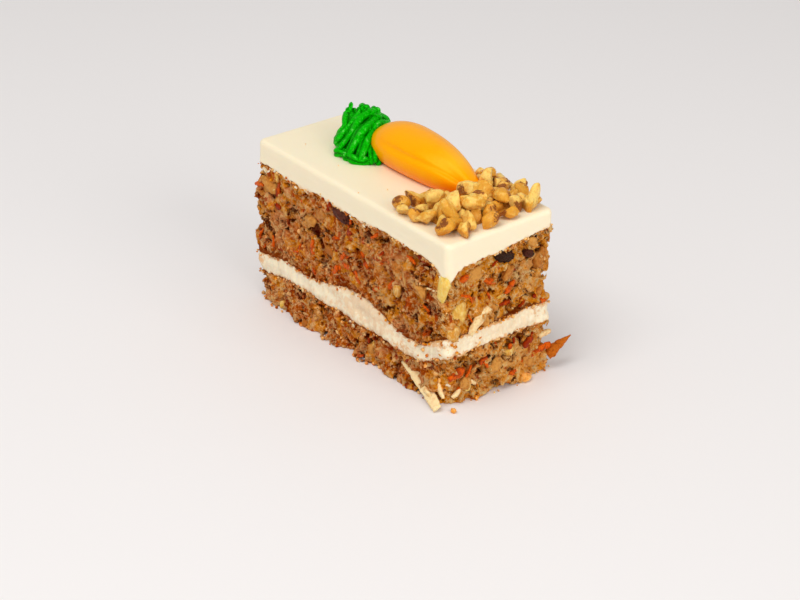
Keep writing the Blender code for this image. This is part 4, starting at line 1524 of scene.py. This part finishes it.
def crumb_colour(graph, place, settings):
    """The colours of the crumb in the open, clump by clump, with painted shade in its bubbles, painted highlight on
    the walls between them and painted light on the end face. Also gives how damp it is, and its raggedness.
    """
    seeded = graph.vector("ADD", place, (settings.seed * 31.7, 0, 0))
    ragged = graph.noise(place, 2.0, 5, 0.7)
    fine = graph.noise(place, 0.8, 4, 0.8)
    bubble = graph.cells(wobbled(graph, seeded, *BUBBLE_WOBBLE), settings.bubble / MM)
    clump = graph.cells(wobbled(graph, seeded, *CLUMP_WOBBLE), settings.clump / MM)
    lucks = graph.separate(clump.other("Color"))
    tone = ragged * 2.4 + lucks[0] * 0.4 + graph.noise(place, 8, 3) * 1.5 - 1.68
    colour = graph.mix_colours(graph.step(tone, 0.08, 0.42), settings.dark, settings.middle)
    colour = graph.mix_colours(graph.step(tone, 0.42, 0.7), colour, settings.mauve)
    toward_end = graph.step(graph.separate(place)[0], 44, 50)
    damp = graph.step(lucks[1] * 0.5 + graph.noise(place, 6, 3) * 1.1 + toward_end * 0.12, 0.82, 1.0)
    # Painted light: the crumb of the end face is painted lighter.
    colour = graph.mix_colours(toward_end * 0.45, colour, shown(255, 172, 62))
    colour = graph.mix_colours(damp * 0.8, colour, settings.moist)
    for middle, half, kind, weight in ZONES_SEEN:
        inside = inside_blob(graph, place, middle, half, (ragged - 0.5) * 4, 0.5)
        colour = graph.mix_colours(inside * weight, colour, getattr(settings, kind))
    # Painted shade in the middles of the small bubbles, and painted highlight on the thin walls between them, both
    # stronger on the end face.
    hollow_shade = graph.step(bubble + (fine - 0.5) * 1.8, 0.0, 0.34, 1, 0)
    colour = graph.mix_colours(hollow_shade * (toward_end * 0.2 + 0.6), colour, settings.dark)
    web_highlight = graph.step(bubble + (fine - 0.5) * 2.4, 0.5, 0.84)
    colour = graph.mix_colours(web_highlight * (toward_end * 0.2 + 0.66), colour, settings.pale)
    for stretch, pitch, offset in (((1, 1, 0.5), 3.4, 5), ((0.55, 0.55, 1), 3.8, 60), ((1, 1, 1), 2.4, 90)):
        stretched = graph.vector("MULTIPLY", graph.vector("ADD", place, (offset, offset, 0)), stretch)
        spot = graph.cells(wobbled(graph, stretched, 1.2, 1.5), pitch)
        spot_lucks = graph.separate(spot.other("Color"))
        inside = graph.step(spot + (fine - 0.5) * 0.5, 0.18, 0.32, 1, 0)
        shred = graph.mix_colours(spot_lucks[1], shown(222, 90, 14), shown(158, 30, 3))
        shows = inside * graph.math("GREATER_THAN", spot_lucks[0], 0.8)
        colour = graph.mix_colours(shows * 0.85, colour, shred)
    return colour, damp, ragged


def crumb_paint(name, settings, crust_below, crust_above):
    """Crumb with painted shade in its pits and deep hollows, and baked skin at its lower or upper face; the skin
    along the top of the lower layer is partly painted shade under the filling.
    """
    material, graph, place = new_paint(name)
    colour, damp, ragged = crumb_colour(graph, place, settings)
    seeded = graph.vector("ADD", place, (settings.seed * 31.7, 0, 0))
    # Painted shade: the crumb darkens where it lies deep below the outline and inside the pits.
    sunk_shade = graph.step(mark(graph, "depth") + (ragged - 0.5) * 2.6, 1.1, 2.8)
    hole_shade = pits(graph, place, seeded, settings.pit / MM) * graph.step(ragged, 0.4, 0.56, 1, 0.72)
    colour = graph.mix_colours(most(sunk_shade * 0.9, hole_shade), colour, settings.pit_shade)
    if crust_below:
        far_end = graph.step(graph.separate(place)[0], -50, -30, 1.1, 0)
        line = graph.step(mark(graph, "above") + (ragged - 0.5) * 7 - far_end, 0.3, 1.7, 1, 0)
        colour = graph.mix_colours(line * 0.88, colour, settings.crust)
    if crust_above:
        # Baked skin along the top of the lower layer, partly painted shade under the filling.
        line = graph.step(mark(graph, "below") + (ragged - 0.5) * 7, 0.0, 1.0, 1, 0)
        colour = graph.mix_colours(line * 0.45, colour, settings.crust)
    height = graph.noise(place, 0.8, 5, 0.8)
    constants = soft_inside(0.08, 0.8, (1.0, 0.5, 0.2))
    constants |= {"Specular_IOR_Level": 0.03, "Specular_Tint": ORANGE_GLOSS}
    shade(graph, colour, 0.7 - damp * 0.35, height, 1.3, **constants)
    return material


def granule_paint(name, settings):
    """Loose grains, coloured like the crumb that they lie on, some paler and some darker."""
    material, graph, place = new_paint(name)
    colour, _, _ = crumb_colour(graph, place, settings)
    tone = mark(graph, "tone")
    colour = graph.mix_colours(graph.step(tone, 0.5, 1.0) * 0.7, colour, settings.pale)
    colour = graph.mix_colours(graph.step(tone, 0.0, 0.35, 1, 0) * 0.6, colour, settings.dark)
    constants = soft_inside(0.1, 1.0, (1.0, 0.45, 0.15))
    height = graph.noise(place, 0.5, 3)
    shade(graph, colour, 0.6, height, 0.4, Specular_IOR_Level=0.08, Specular_Tint=ORANGE_GLOSS, **constants)
    return material


def shred_paint(name, settings):
    material, graph, place = new_paint(name)
    tone = mark(graph, "tone") + (graph.noise(place, 2.0, 3) - 0.5) * 2.4
    colour = graph.mix_colours(graph.step(tone, 0.2, 1.0), settings.shred_colour, settings.shred_dark)
    browned = graph.step(mark(graph, "tone"), 1.2, BROWNED)
    colour = graph.mix_colours(browned * 0.8, colour, shown(206, 112, 30))
    stained = graph.step(graph.noise(place, 0.9, 4, 0.7), 0.52, 0.6)
    colour = graph.mix_colours(stained * 0.65, colour, shown(134, 48, 8))
    constants = soft_inside(0.15, 1.2, (1.0, 0.35, 0.1))
    height = graph.noise(place, 0.7, 3)
    shade(graph, colour, 0.4, height, 0.6, Specular_IOR_Level=0.25, Specular_Tint=ORANGE_GLOSS, **constants)
    return material


def bit_paint(name, colour, dark, roughness, depth=0.3, pitch=0.9, inside=0.1, **constants):
    """A mix-in that is mottled between two colours."""
    material, graph, place = new_paint(name)
    tone = mark(graph, "tone") * 0.5 + graph.noise(place, pitch * 2.2, 4, 0.65) * 1.2
    mottled = graph.mix_colours(graph.step(tone, 0.55, 1.1), tuple(colour), dark)
    constants.update(soft_inside(inside, 1.2), Specular_IOR_Level=0.3, Specular_Tint=WARM_GLOSS)
    shade(graph, mottled, roughness, graph.noise(place, pitch, 3, 0.6), depth, **constants)
    return material


def fruit_paint(name, settings):
    """Moist pineapple, streaked with paler fibres."""
    material, graph, place = new_paint(name)
    tone = mark(graph, "tone") * 0.6 + graph.noise(place, 2.0, 3, 0.6) * 0.8
    colour = graph.mix_colours(graph.step(tone, 0.45, 1.0), settings.fruit_colour, shown(214, 146, 50))
    fibres = graph.noise(graph.vector("MULTIPLY", place, (1, 1, 0.4)), 0.8, 3, 0.6)
    colour = graph.mix_colours(graph.step(fibres, 0.44, 0.66) * 0.5, colour, shown(255, 236, 170))
    constants = soft_inside(0.3, 1.6)
    constants |= {"Specular_IOR_Level": 0.3, "Specular_Tint": WARM_GLOSS}
    shade(graph, colour, 0.3, fibres, 0.7, **constants)
    return material


def icing_paint(name, settings):
    """Smooth cream cheese icing, stained by the crumb along its lower edge."""
    material, graph, place = new_paint(name)
    x, y, z = graph.separate(place)
    rise = z - icing_floor(x, y)
    patch = graph.noise(place, 9, 3)
    colour = graph.mix_colours(patch * 0.35, tuple(settings.icing), shown(246, 228, 190))
    stain = graph.step(rise + (graph.noise(place, 2.2, 3) - 0.5) * 2.6, -0.6, 1.1, 1, 0)
    colour = graph.mix_colours(stain * 0.5, colour, tuple(settings.stain))
    height = graph.noise(place, 3.0, 3) * 0.7 + graph.noise(place, 0.6, 2) * 0.3
    shade(graph, colour, 0.42, height, 0.08, **soft_inside(0.22, 2.4, (1.0, 0.75, 0.5)))
    return material


# Patches of stain colour on the filling: middle, half size, and how plainly. Most are where crumb has stained it.
STAINS_SEEN = (
    ((-53, -22, 14.5), (3.5, 3, 2.2), 0.6),
    ((45, -23, 24.5), (8, 4, 3.5), 0.6),
    ((33, -23, 14.0), (7, 4, 1.8), 0.45),
    # This wide patch only makes the middle of the long side's filling darker.
    ((8, -23, 20.0), (24, 4, 9), 0.26),
    ((52, 18, 26.5), (3, 4, 3.5), 0.45),
    ((52, 2, 24.0), (3, 22, 8), 0.14),
)


def filling_paint(name, settings):
    """Torn cream filling with crumb dragged into it."""
    material, graph, place = new_paint(name)
    x, y, z = graph.separate(place)
    rise = z - filling_floor(x, y)
    drop = filling_ceiling(x, y) - z
    upright = graph.vector("MULTIPLY", place, (1, 1, 0.3))
    patch = graph.noise(upright, 2.4, 3, 0.6)
    colour = graph.mix_colours(patch * 0.55, tuple(settings.filling), shown(226, 196, 150))
    edge = graph.step(least(rise, drop) + (graph.noise(place, 1.6, 3) - 0.5) * 5, -0.1, 1.1, 1, 0)
    dragged = graph.step(graph.noise(upright, 1.7, 4, 0.7), 0.58, 0.66)
    colour = graph.mix_colours(most(edge * 0.7, dragged * 0.22), colour, tuple(settings.stain))
    ragged = (graph.noise(place, 2.0, 4, 0.7) - 0.5) * 6
    for middle, half, weight in STAINS_SEEN:
        inside = inside_blob(graph, place, middle, half, ragged, 0.6)
        colour = graph.mix_colours(inside * weight, colour, settings.stain)
    height = graph.noise(upright, 0.8, 3) * 0.6 + graph.noise(place, 0.5, 2) * 0.4
    shade(graph, colour, 0.5, height, 0.3, **soft_inside(0.2, 2.0, (1.0, 0.72, 0.45)))
    return material


def carrot_paint(name, settings):
    material, graph, place = new_paint(name)
    x, y, z = graph.separate(place)
    # Painted shade: deeper orange low on the carrot and under its tip; the noise adds deeper orange at random.
    low = graph.step(z - SLICE_HEIGHT, 0.5, 8.5, 1, 0)
    near_tip = graph.step(x, 16, 31) * graph.step(z - SLICE_HEIGHT, 2, 8, 1, 0)
    # Painted highlight: pale yellow high on the carrot near its tip.
    ridge = graph.step(x, 12, 24) * graph.step(z - SLICE_HEIGHT, 7, 10.5)
    share = low * 0.7 + (graph.noise(place, 6, 2) - 0.5) * 0.8 + near_tip * 0.6
    colour = graph.mix_colours(graph.step(share, 0, 1), tuple(settings.carrot), tuple(settings.carrot_deep_and_shade))
    colour = graph.mix_colours(ridge * 0.25, colour, shown(255, 214, 64))
    height = graph.noise(place, 5.0, 2)
    constants = soft_inside(0.1, 2.0, (1.0, 0.45, 0.02))
    constants |= {"Specular_IOR_Level": 0.3, "Specular_Tint": ORANGE_GLOSS}
    shade(graph, colour, 0.26, height, 0.12, **constants)
    return material


def leaf_paint(name, settings):
    material, graph, place = new_paint(name)
    # Painted shade: darker green in the grooves between the ridges, mottled at random.
    share = graph.step(mark(graph, "ridge"), 0.1, 0.7) * 0.8 + graph.noise(place, 1.8, 2) * 0.4
    colour = graph.mix_colours(share, tuple(settings.leaf_groove_shade), tuple(settings.leaf))
    # Painted highlight: pale green along the crests of the ridges.
    crest = graph.step(mark(graph, "ridge") + (graph.noise(place, 1.6, 2) - 0.5) * 1.8, 1.02, 1.4)
    colour = graph.mix_colours(crest * 0.6, colour, tuple(settings.leaf_crest_highlight))
    constants = soft_inside(0.05, 0.8, (0.2, 1.0, 0.2))
    constants |= {"Metallic": 0.22, "Specular_IOR_Level": 0.12, "Specular_Tint": GREEN_GLOSS}
    shade(graph, colour, 0.14, graph.noise(place, 1.4, 3), 1.1, **constants)
    return material


def nut_paint(name, settings):
    """Fresh cut walnut, paler in some pieces, with patches of brown skin, and painted shade on its lower parts near
    the icing.
    """
    material, graph, place = new_paint(name)
    tone = mark(graph, "tone")
    x, y, z = graph.separate(place)
    cut = graph.step(tone + (graph.noise(place, 2.2, 4, 0.6) - 0.5) * 3.0, 0.15, 0.95)
    colour = graph.mix_colours(cut, tuple(settings.walnut), tuple(settings.walnut_pale))
    shifted = graph.vector("ADD", place, graph.combine(tone * 40, 0, 0))
    # Painted shade: the lower parts of the nuts, near the icing, are darker.
    low = graph.step(z - SLICE_HEIGHT + (graph.noise(shifted, 2.0, 2) - 0.5) * 5, 0.4, 3.6, 1, 0)
    colour = graph.mix_colours(low * 0.5, colour, shown(204, 122, 26))
    side = mark(graph, "skin") + (graph.noise(shifted, 1.5, 4, 0.65) - 0.5) * 2.0
    colour = graph.mix_colours(graph.step(side, 0.3, 0.8) * 0.5, colour, shown(208, 126, 30))
    colour = graph.mix_colours(graph.step(side, 0.7, 0.84) * 0.9, colour, tuple(settings.skin))
    vein = graph.step(graph.noise(shifted, 0.9, 4, 0.7), 0.54, 0.62)
    colour = graph.mix_colours(vein * 0.35, colour, shown(206, 132, 40))
    height = graph.noise(place, 0.9, 4, 0.65)
    constants = soft_inside(0.2, 1.5, (1.0, 0.6, 0.2))
    shade(graph, colour, 0.28, height, 0.35, Specular_IOR_Level=0.5, Specular_Tint=WARM_GLOSS, **constants)
    return material


def clear_defaults():
    """Removes what a new file holds, apart from the frame."""
    kept = set(frame["nodes"].values()) | set(frame["bodies"].values())
    for obj in list(bpy.data.objects):
        if obj not in kept:
            bpy.data.objects.remove(obj)


def crumb_values(settings, material):
    """The settings in the millimetres that the sponge's tree works in."""
    return {
        "Detail": settings.voxel / MM,
        "Clump": settings.clump / MM,
        "Clump depth": settings.clump_depth / MM,
        "Bubble": settings.bubble / MM,
        "Bubble depth": settings.bubble_depth / MM,
        "Tear": settings.tear / MM,
        "Tear depth": settings.tear_depth / MM,
        "Pit": settings.pit / MM,
        "Pit depth": settings.pit_depth / MM,
        "Seed": float(settings.seed),
        "Material": material,
    }


def add_sponge(name, node, floor, ceiling, low, high, paint, grains_paint, settings):
    """One sponge layer and the loose grains on it."""
    tree = sponge_tree(floor, ceiling, low, high)
    cake = grow(name, bpy.data.meshes.new(name), tree, crumb_values(settings, paint))
    area = 2 * (2 * HALF_LENGTH + 2 * HALF_WIDTH) * (high[2] - low[2]) * MM * MM
    values = {"Density": settings.granules / area, "Smallest": 0.5 * MM, "Largest": 1.7 * MM}
    values["Material"] = grains_paint
    grains = grow(name + "_grains", cake.data.copy(), granule_tree(), values)
    settle(cake, node)
    settle(grains)


class CAKE_OT_sponge(bpy.types.Operator):
    """Makes the two sponge layers and their loose grains"""

    bl_idname = "cake.sponge"
    bl_label = "Sponge"

    def execute(self, context):
        settings = context.scene.cake_crumb
        grains = granule_paint("loose_grain", settings)
        upper = crumb_paint("crumb_upper", settings, True, False)
        lower = crumb_paint("crumb_lower", settings, False, True)
        low, high = (-60, -27, 15), (58, 27, 57)
        add_sponge("upper_crumb", "sponge_upper", filling_ceiling, icing_floor, low, high, upper, grains, settings)
        low, high = (-60, -29, -1), (58, 29, 22)
        add_sponge("lower_crumb", "sponge_lower", table, filling_floor, low, high, lower, grains, settings)
        return {"FINISHED"}


class CAKE_OT_mix_ins(bpy.types.Operator):
    """Puts carrot shreds, walnut, raisins, pineapple and coconut into the cut crumb"""

    bl_idname = "cake.mix_ins"
    bl_label = "Mix-ins"

    def execute(self, context):
        settings = context.scene.cake_mix_ins
        cream = context.scene.cake_cream
        walnut = bit_paint("baked_walnut", settings.walnut_colour, shown(176, 98, 26), 0.4, 0.5, 0.7)
        raisin = bit_paint("raisin", settings.raisin_colour, shown(38, 12, 10), 0.5, 0.8, 0.7, 0.0)
        fruit = fruit_paint("pineapple", settings)
        coconut = bit_paint("coconut", settings.coconut_colour, shown(214, 156, 84), 0.45, 0.3, 0.8, 0.2)
        dab = bit_paint("cream_dab", cream.filling, shown(226, 196, 152), 0.5, 0.2, 0.8, 0.2)
        settle(shred_heap(settings).piece("carrot_shreds", shred_paint("carrot_shred", settings)))
        settle(walnut_bits(settings).piece("walnut_bits", walnut))
        settle(raisin_bits(settings).piece("raisins", raisin))
        settle(fruit_bits(settings).piece("pineapple_bits", fruit))
        settle(coconut_bits(settings).piece("coconut_strips", coconut))
        settle(cream_bits().piece("cream_dabs", dab))
        return {"FINISHED"}


class CAKE_OT_cream(bpy.types.Operator):
    """Makes the icing on top and the filling between the sponges"""

    bl_idname = "cake.cream"
    bl_label = "Icing and filling"

    def execute(self, context):
        settings = context.scene.cake_cream
        icing = make_piece("icing_slab", *icing_slab(settings), icing_paint("icing", settings))
        filling = make_piece("cream_filling", *filling_slab(settings), filling_paint("filling", settings))
        settle(icing, "icing_top")
        settle(filling, "filling")
        return {"FINISHED"}


class CAKE_OT_carrot(bpy.types.Operator):
    """Pipes the carrot"""

    bl_idname = "cake.carrot"
    bl_label = "Carrot"

    def execute(self, context):
        settings = context.scene.cake_toppings
        carrot = make_piece("icing_carrot", *carrot_skin(), carrot_paint("orange_icing", settings))
        settle(carrot, "piped_carrot")
        return {"FINISHED"}


class CAKE_OT_leaves(bpy.types.Operator):
    """Pipes the carrot's leaves"""

    bl_idname = "cake.leaves"
    bl_label = "Leaves"

    def execute(self, context):
        settings = context.scene.cake_toppings
        paint = leaf_paint("green_icing", settings)
        values = {"Ridges": float(settings.ridges), "Flute": 0.42, "Material": paint}
        leaves = grow("icing_leaves", rope_curves(settings), rope_tree(), values)
        settle(leaves, "carrot_leaves")
        return {"FINISHED"}


class CAKE_OT_walnuts(bpy.types.Operator):
    """Heaps chopped walnuts on the nut end"""

    bl_idname = "cake.walnuts"
    bl_label = "Chopped walnuts"

    def execute(self, context):
        paint = nut_paint("chopped_walnut", context.scene.cake_toppings)
        heap = nut_heap()
        heap.add(*nut_core(), 0.2)
        settle(heap.piece("chopped_walnuts", paint), "walnut_pieces")
        return {"FINISHED"}


class CAKE_OT_crumbs(bpy.types.Operator):
    """Drops a few loose crumbs round the slice"""

    bl_idname = "cake.crumbs"
    bl_label = "Loose crumbs"

    def execute(self, context):
        paint = granule_paint("dropped_crumb", context.scene.cake_crumb)
        settle(loose_crumbs().piece("dropped_crumbs", paint))
        return {"FINISHED"}


def add_lamp(name, place, aim, size, power, colour):
    """A soft square lamp. Places are in metres."""
    lamp = bpy.data.lights.new(name, "AREA")
    lamp.energy = power
    lamp.size = size
    lamp.color = colour
    obj = bpy.data.objects.new(name, lamp)
    obj.location = place
    obj.rotation_euler = (Vector(aim) - Vector(place)).to_track_quat("-Z", "Y").to_euler()
    bpy.context.scene.collection.objects.link(obj)


class CAKE_OT_stage(bpy.types.Operator):
    """Adds the pale floor, soft light and the camera"""

    bl_idname = "cake.stage"
    bl_label = "Floor, light and camera"

    def execute(self, context):
        settings = context.scene.cake_stage
        scene = context.scene
        material, graph, _ = new_paint("floor")
        shade(graph, (*settings.floor, 1), 0.6)
        reach = 4000
        corners = [(-reach, -reach, 0), (reach, -reach, 0), (reach, reach, 0), (-reach, reach, 0)]
        floor = make_piece("floor", corners, [(0, 1, 2, 3)], material)

        bearing, height = settings.azimuth, settings.elevation
        back = Vector((math.sin(bearing) * math.cos(height), -math.cos(bearing) * math.cos(height), math.sin(height)))
        right = Vector((math.cos(bearing), math.sin(bearing), 0))
        up = back.cross(right)
        aim = -0.298 * MM * right + 10.73 * MM * up
        camera = bpy.data.cameras.new("camera")
        camera.lens = settings.lens
        camera.sensor_width = 36
        camera.clip_start = 0.01
        viewer = bpy.data.objects.new("camera", camera)
        viewer.location = aim + back * settings.distance
        viewer.rotation_euler = Matrix((right, up, back)).transposed().to_euler()
        scene.collection.objects.link(viewer)
        scene.camera = viewer

        level = Vector((back.x, back.y, 0)).normalized()
        over = -0.35 * right + 0.45 * level + Vector((0, 0, 1.1))
        beside = 0.85 * right + 1.0 * level + Vector((0, 0, 0.55))
        add_lamp("key", over, (0, 0, 0.03), 0.7, settings.key, (1, 0.99, 0.97))
        add_lamp("fill", beside, (0, 0, 0.03), 0.9, settings.fill, (1, 0.99, 0.96))
        world = bpy.data.worlds.new("room")
        world.use_nodes = True
        backdrop = Graph(world.node_tree)
        sky = backdrop.add("ShaderNodeBackground", None, {"Color": (1.0, 0.985, 0.97, 1), "Strength": settings.sky})
        backdrop.add("ShaderNodeOutputWorld", None, {"Surface": sky})
        scene.world = world
        scene.view_settings.view_transform = "Standard"
        return {"FINISHED"}


OPERATORS = (
    CAKE_OT_sponge,
    CAKE_OT_mix_ins,
    CAKE_OT_cream,
    CAKE_OT_carrot,
    CAKE_OT_leaves,
    CAKE_OT_walnuts,
    CAKE_OT_crumbs,
    CAKE_OT_stage,
)
SETTINGS = {
    "cake_crumb": CrumbSettings,
    "cake_mix_ins": MixInSettings,
    "cake_cream": CreamSettings,
    "cake_toppings": ToppingSettings,
    "cake_stage": StageSettings,
}


class CAKE_PT_slice(bpy.types.Panel):
    """Lists what the slice is made of"""

    bl_idname = "CAKE_PT_slice"
    bl_label = "Carrot cake slice"
    bl_space_type = "VIEW_3D"
    bl_region_type = "UI"
    bl_category = "Cake"

    def draw(self, context):
        for name, group in SETTINGS.items():
            box = self.layout.box()
            for prop in group.__annotations__:
                box.prop(getattr(context.scene, name), prop)
        for operator in OPERATORS:
            self.layout.operator(operator.bl_idname)


def register():
    for group in SETTINGS.values():
        bpy.utils.register_class(group)
    for name, group in SETTINGS.items():
        setattr(bpy.types.Scene, name, PointerProperty(type=group))
    for item in (*OPERATORS, CAKE_PT_slice):
        bpy.utils.register_class(item)


def unregister():
    for item in (CAKE_PT_slice, *reversed(OPERATORS)):
        bpy.utils.unregister_class(item)
    for name, group in SETTINGS.items():
        delattr(bpy.types.Scene, name)
        bpy.utils.unregister_class(group)


def main():
    register()
    clear_defaults()
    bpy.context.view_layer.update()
    for operator in OPERATORS:
        group, name = operator.bl_idname.split(".")
        getattr(getattr(bpy.ops, group), name)()


if __name__ == "__main__":
    main()
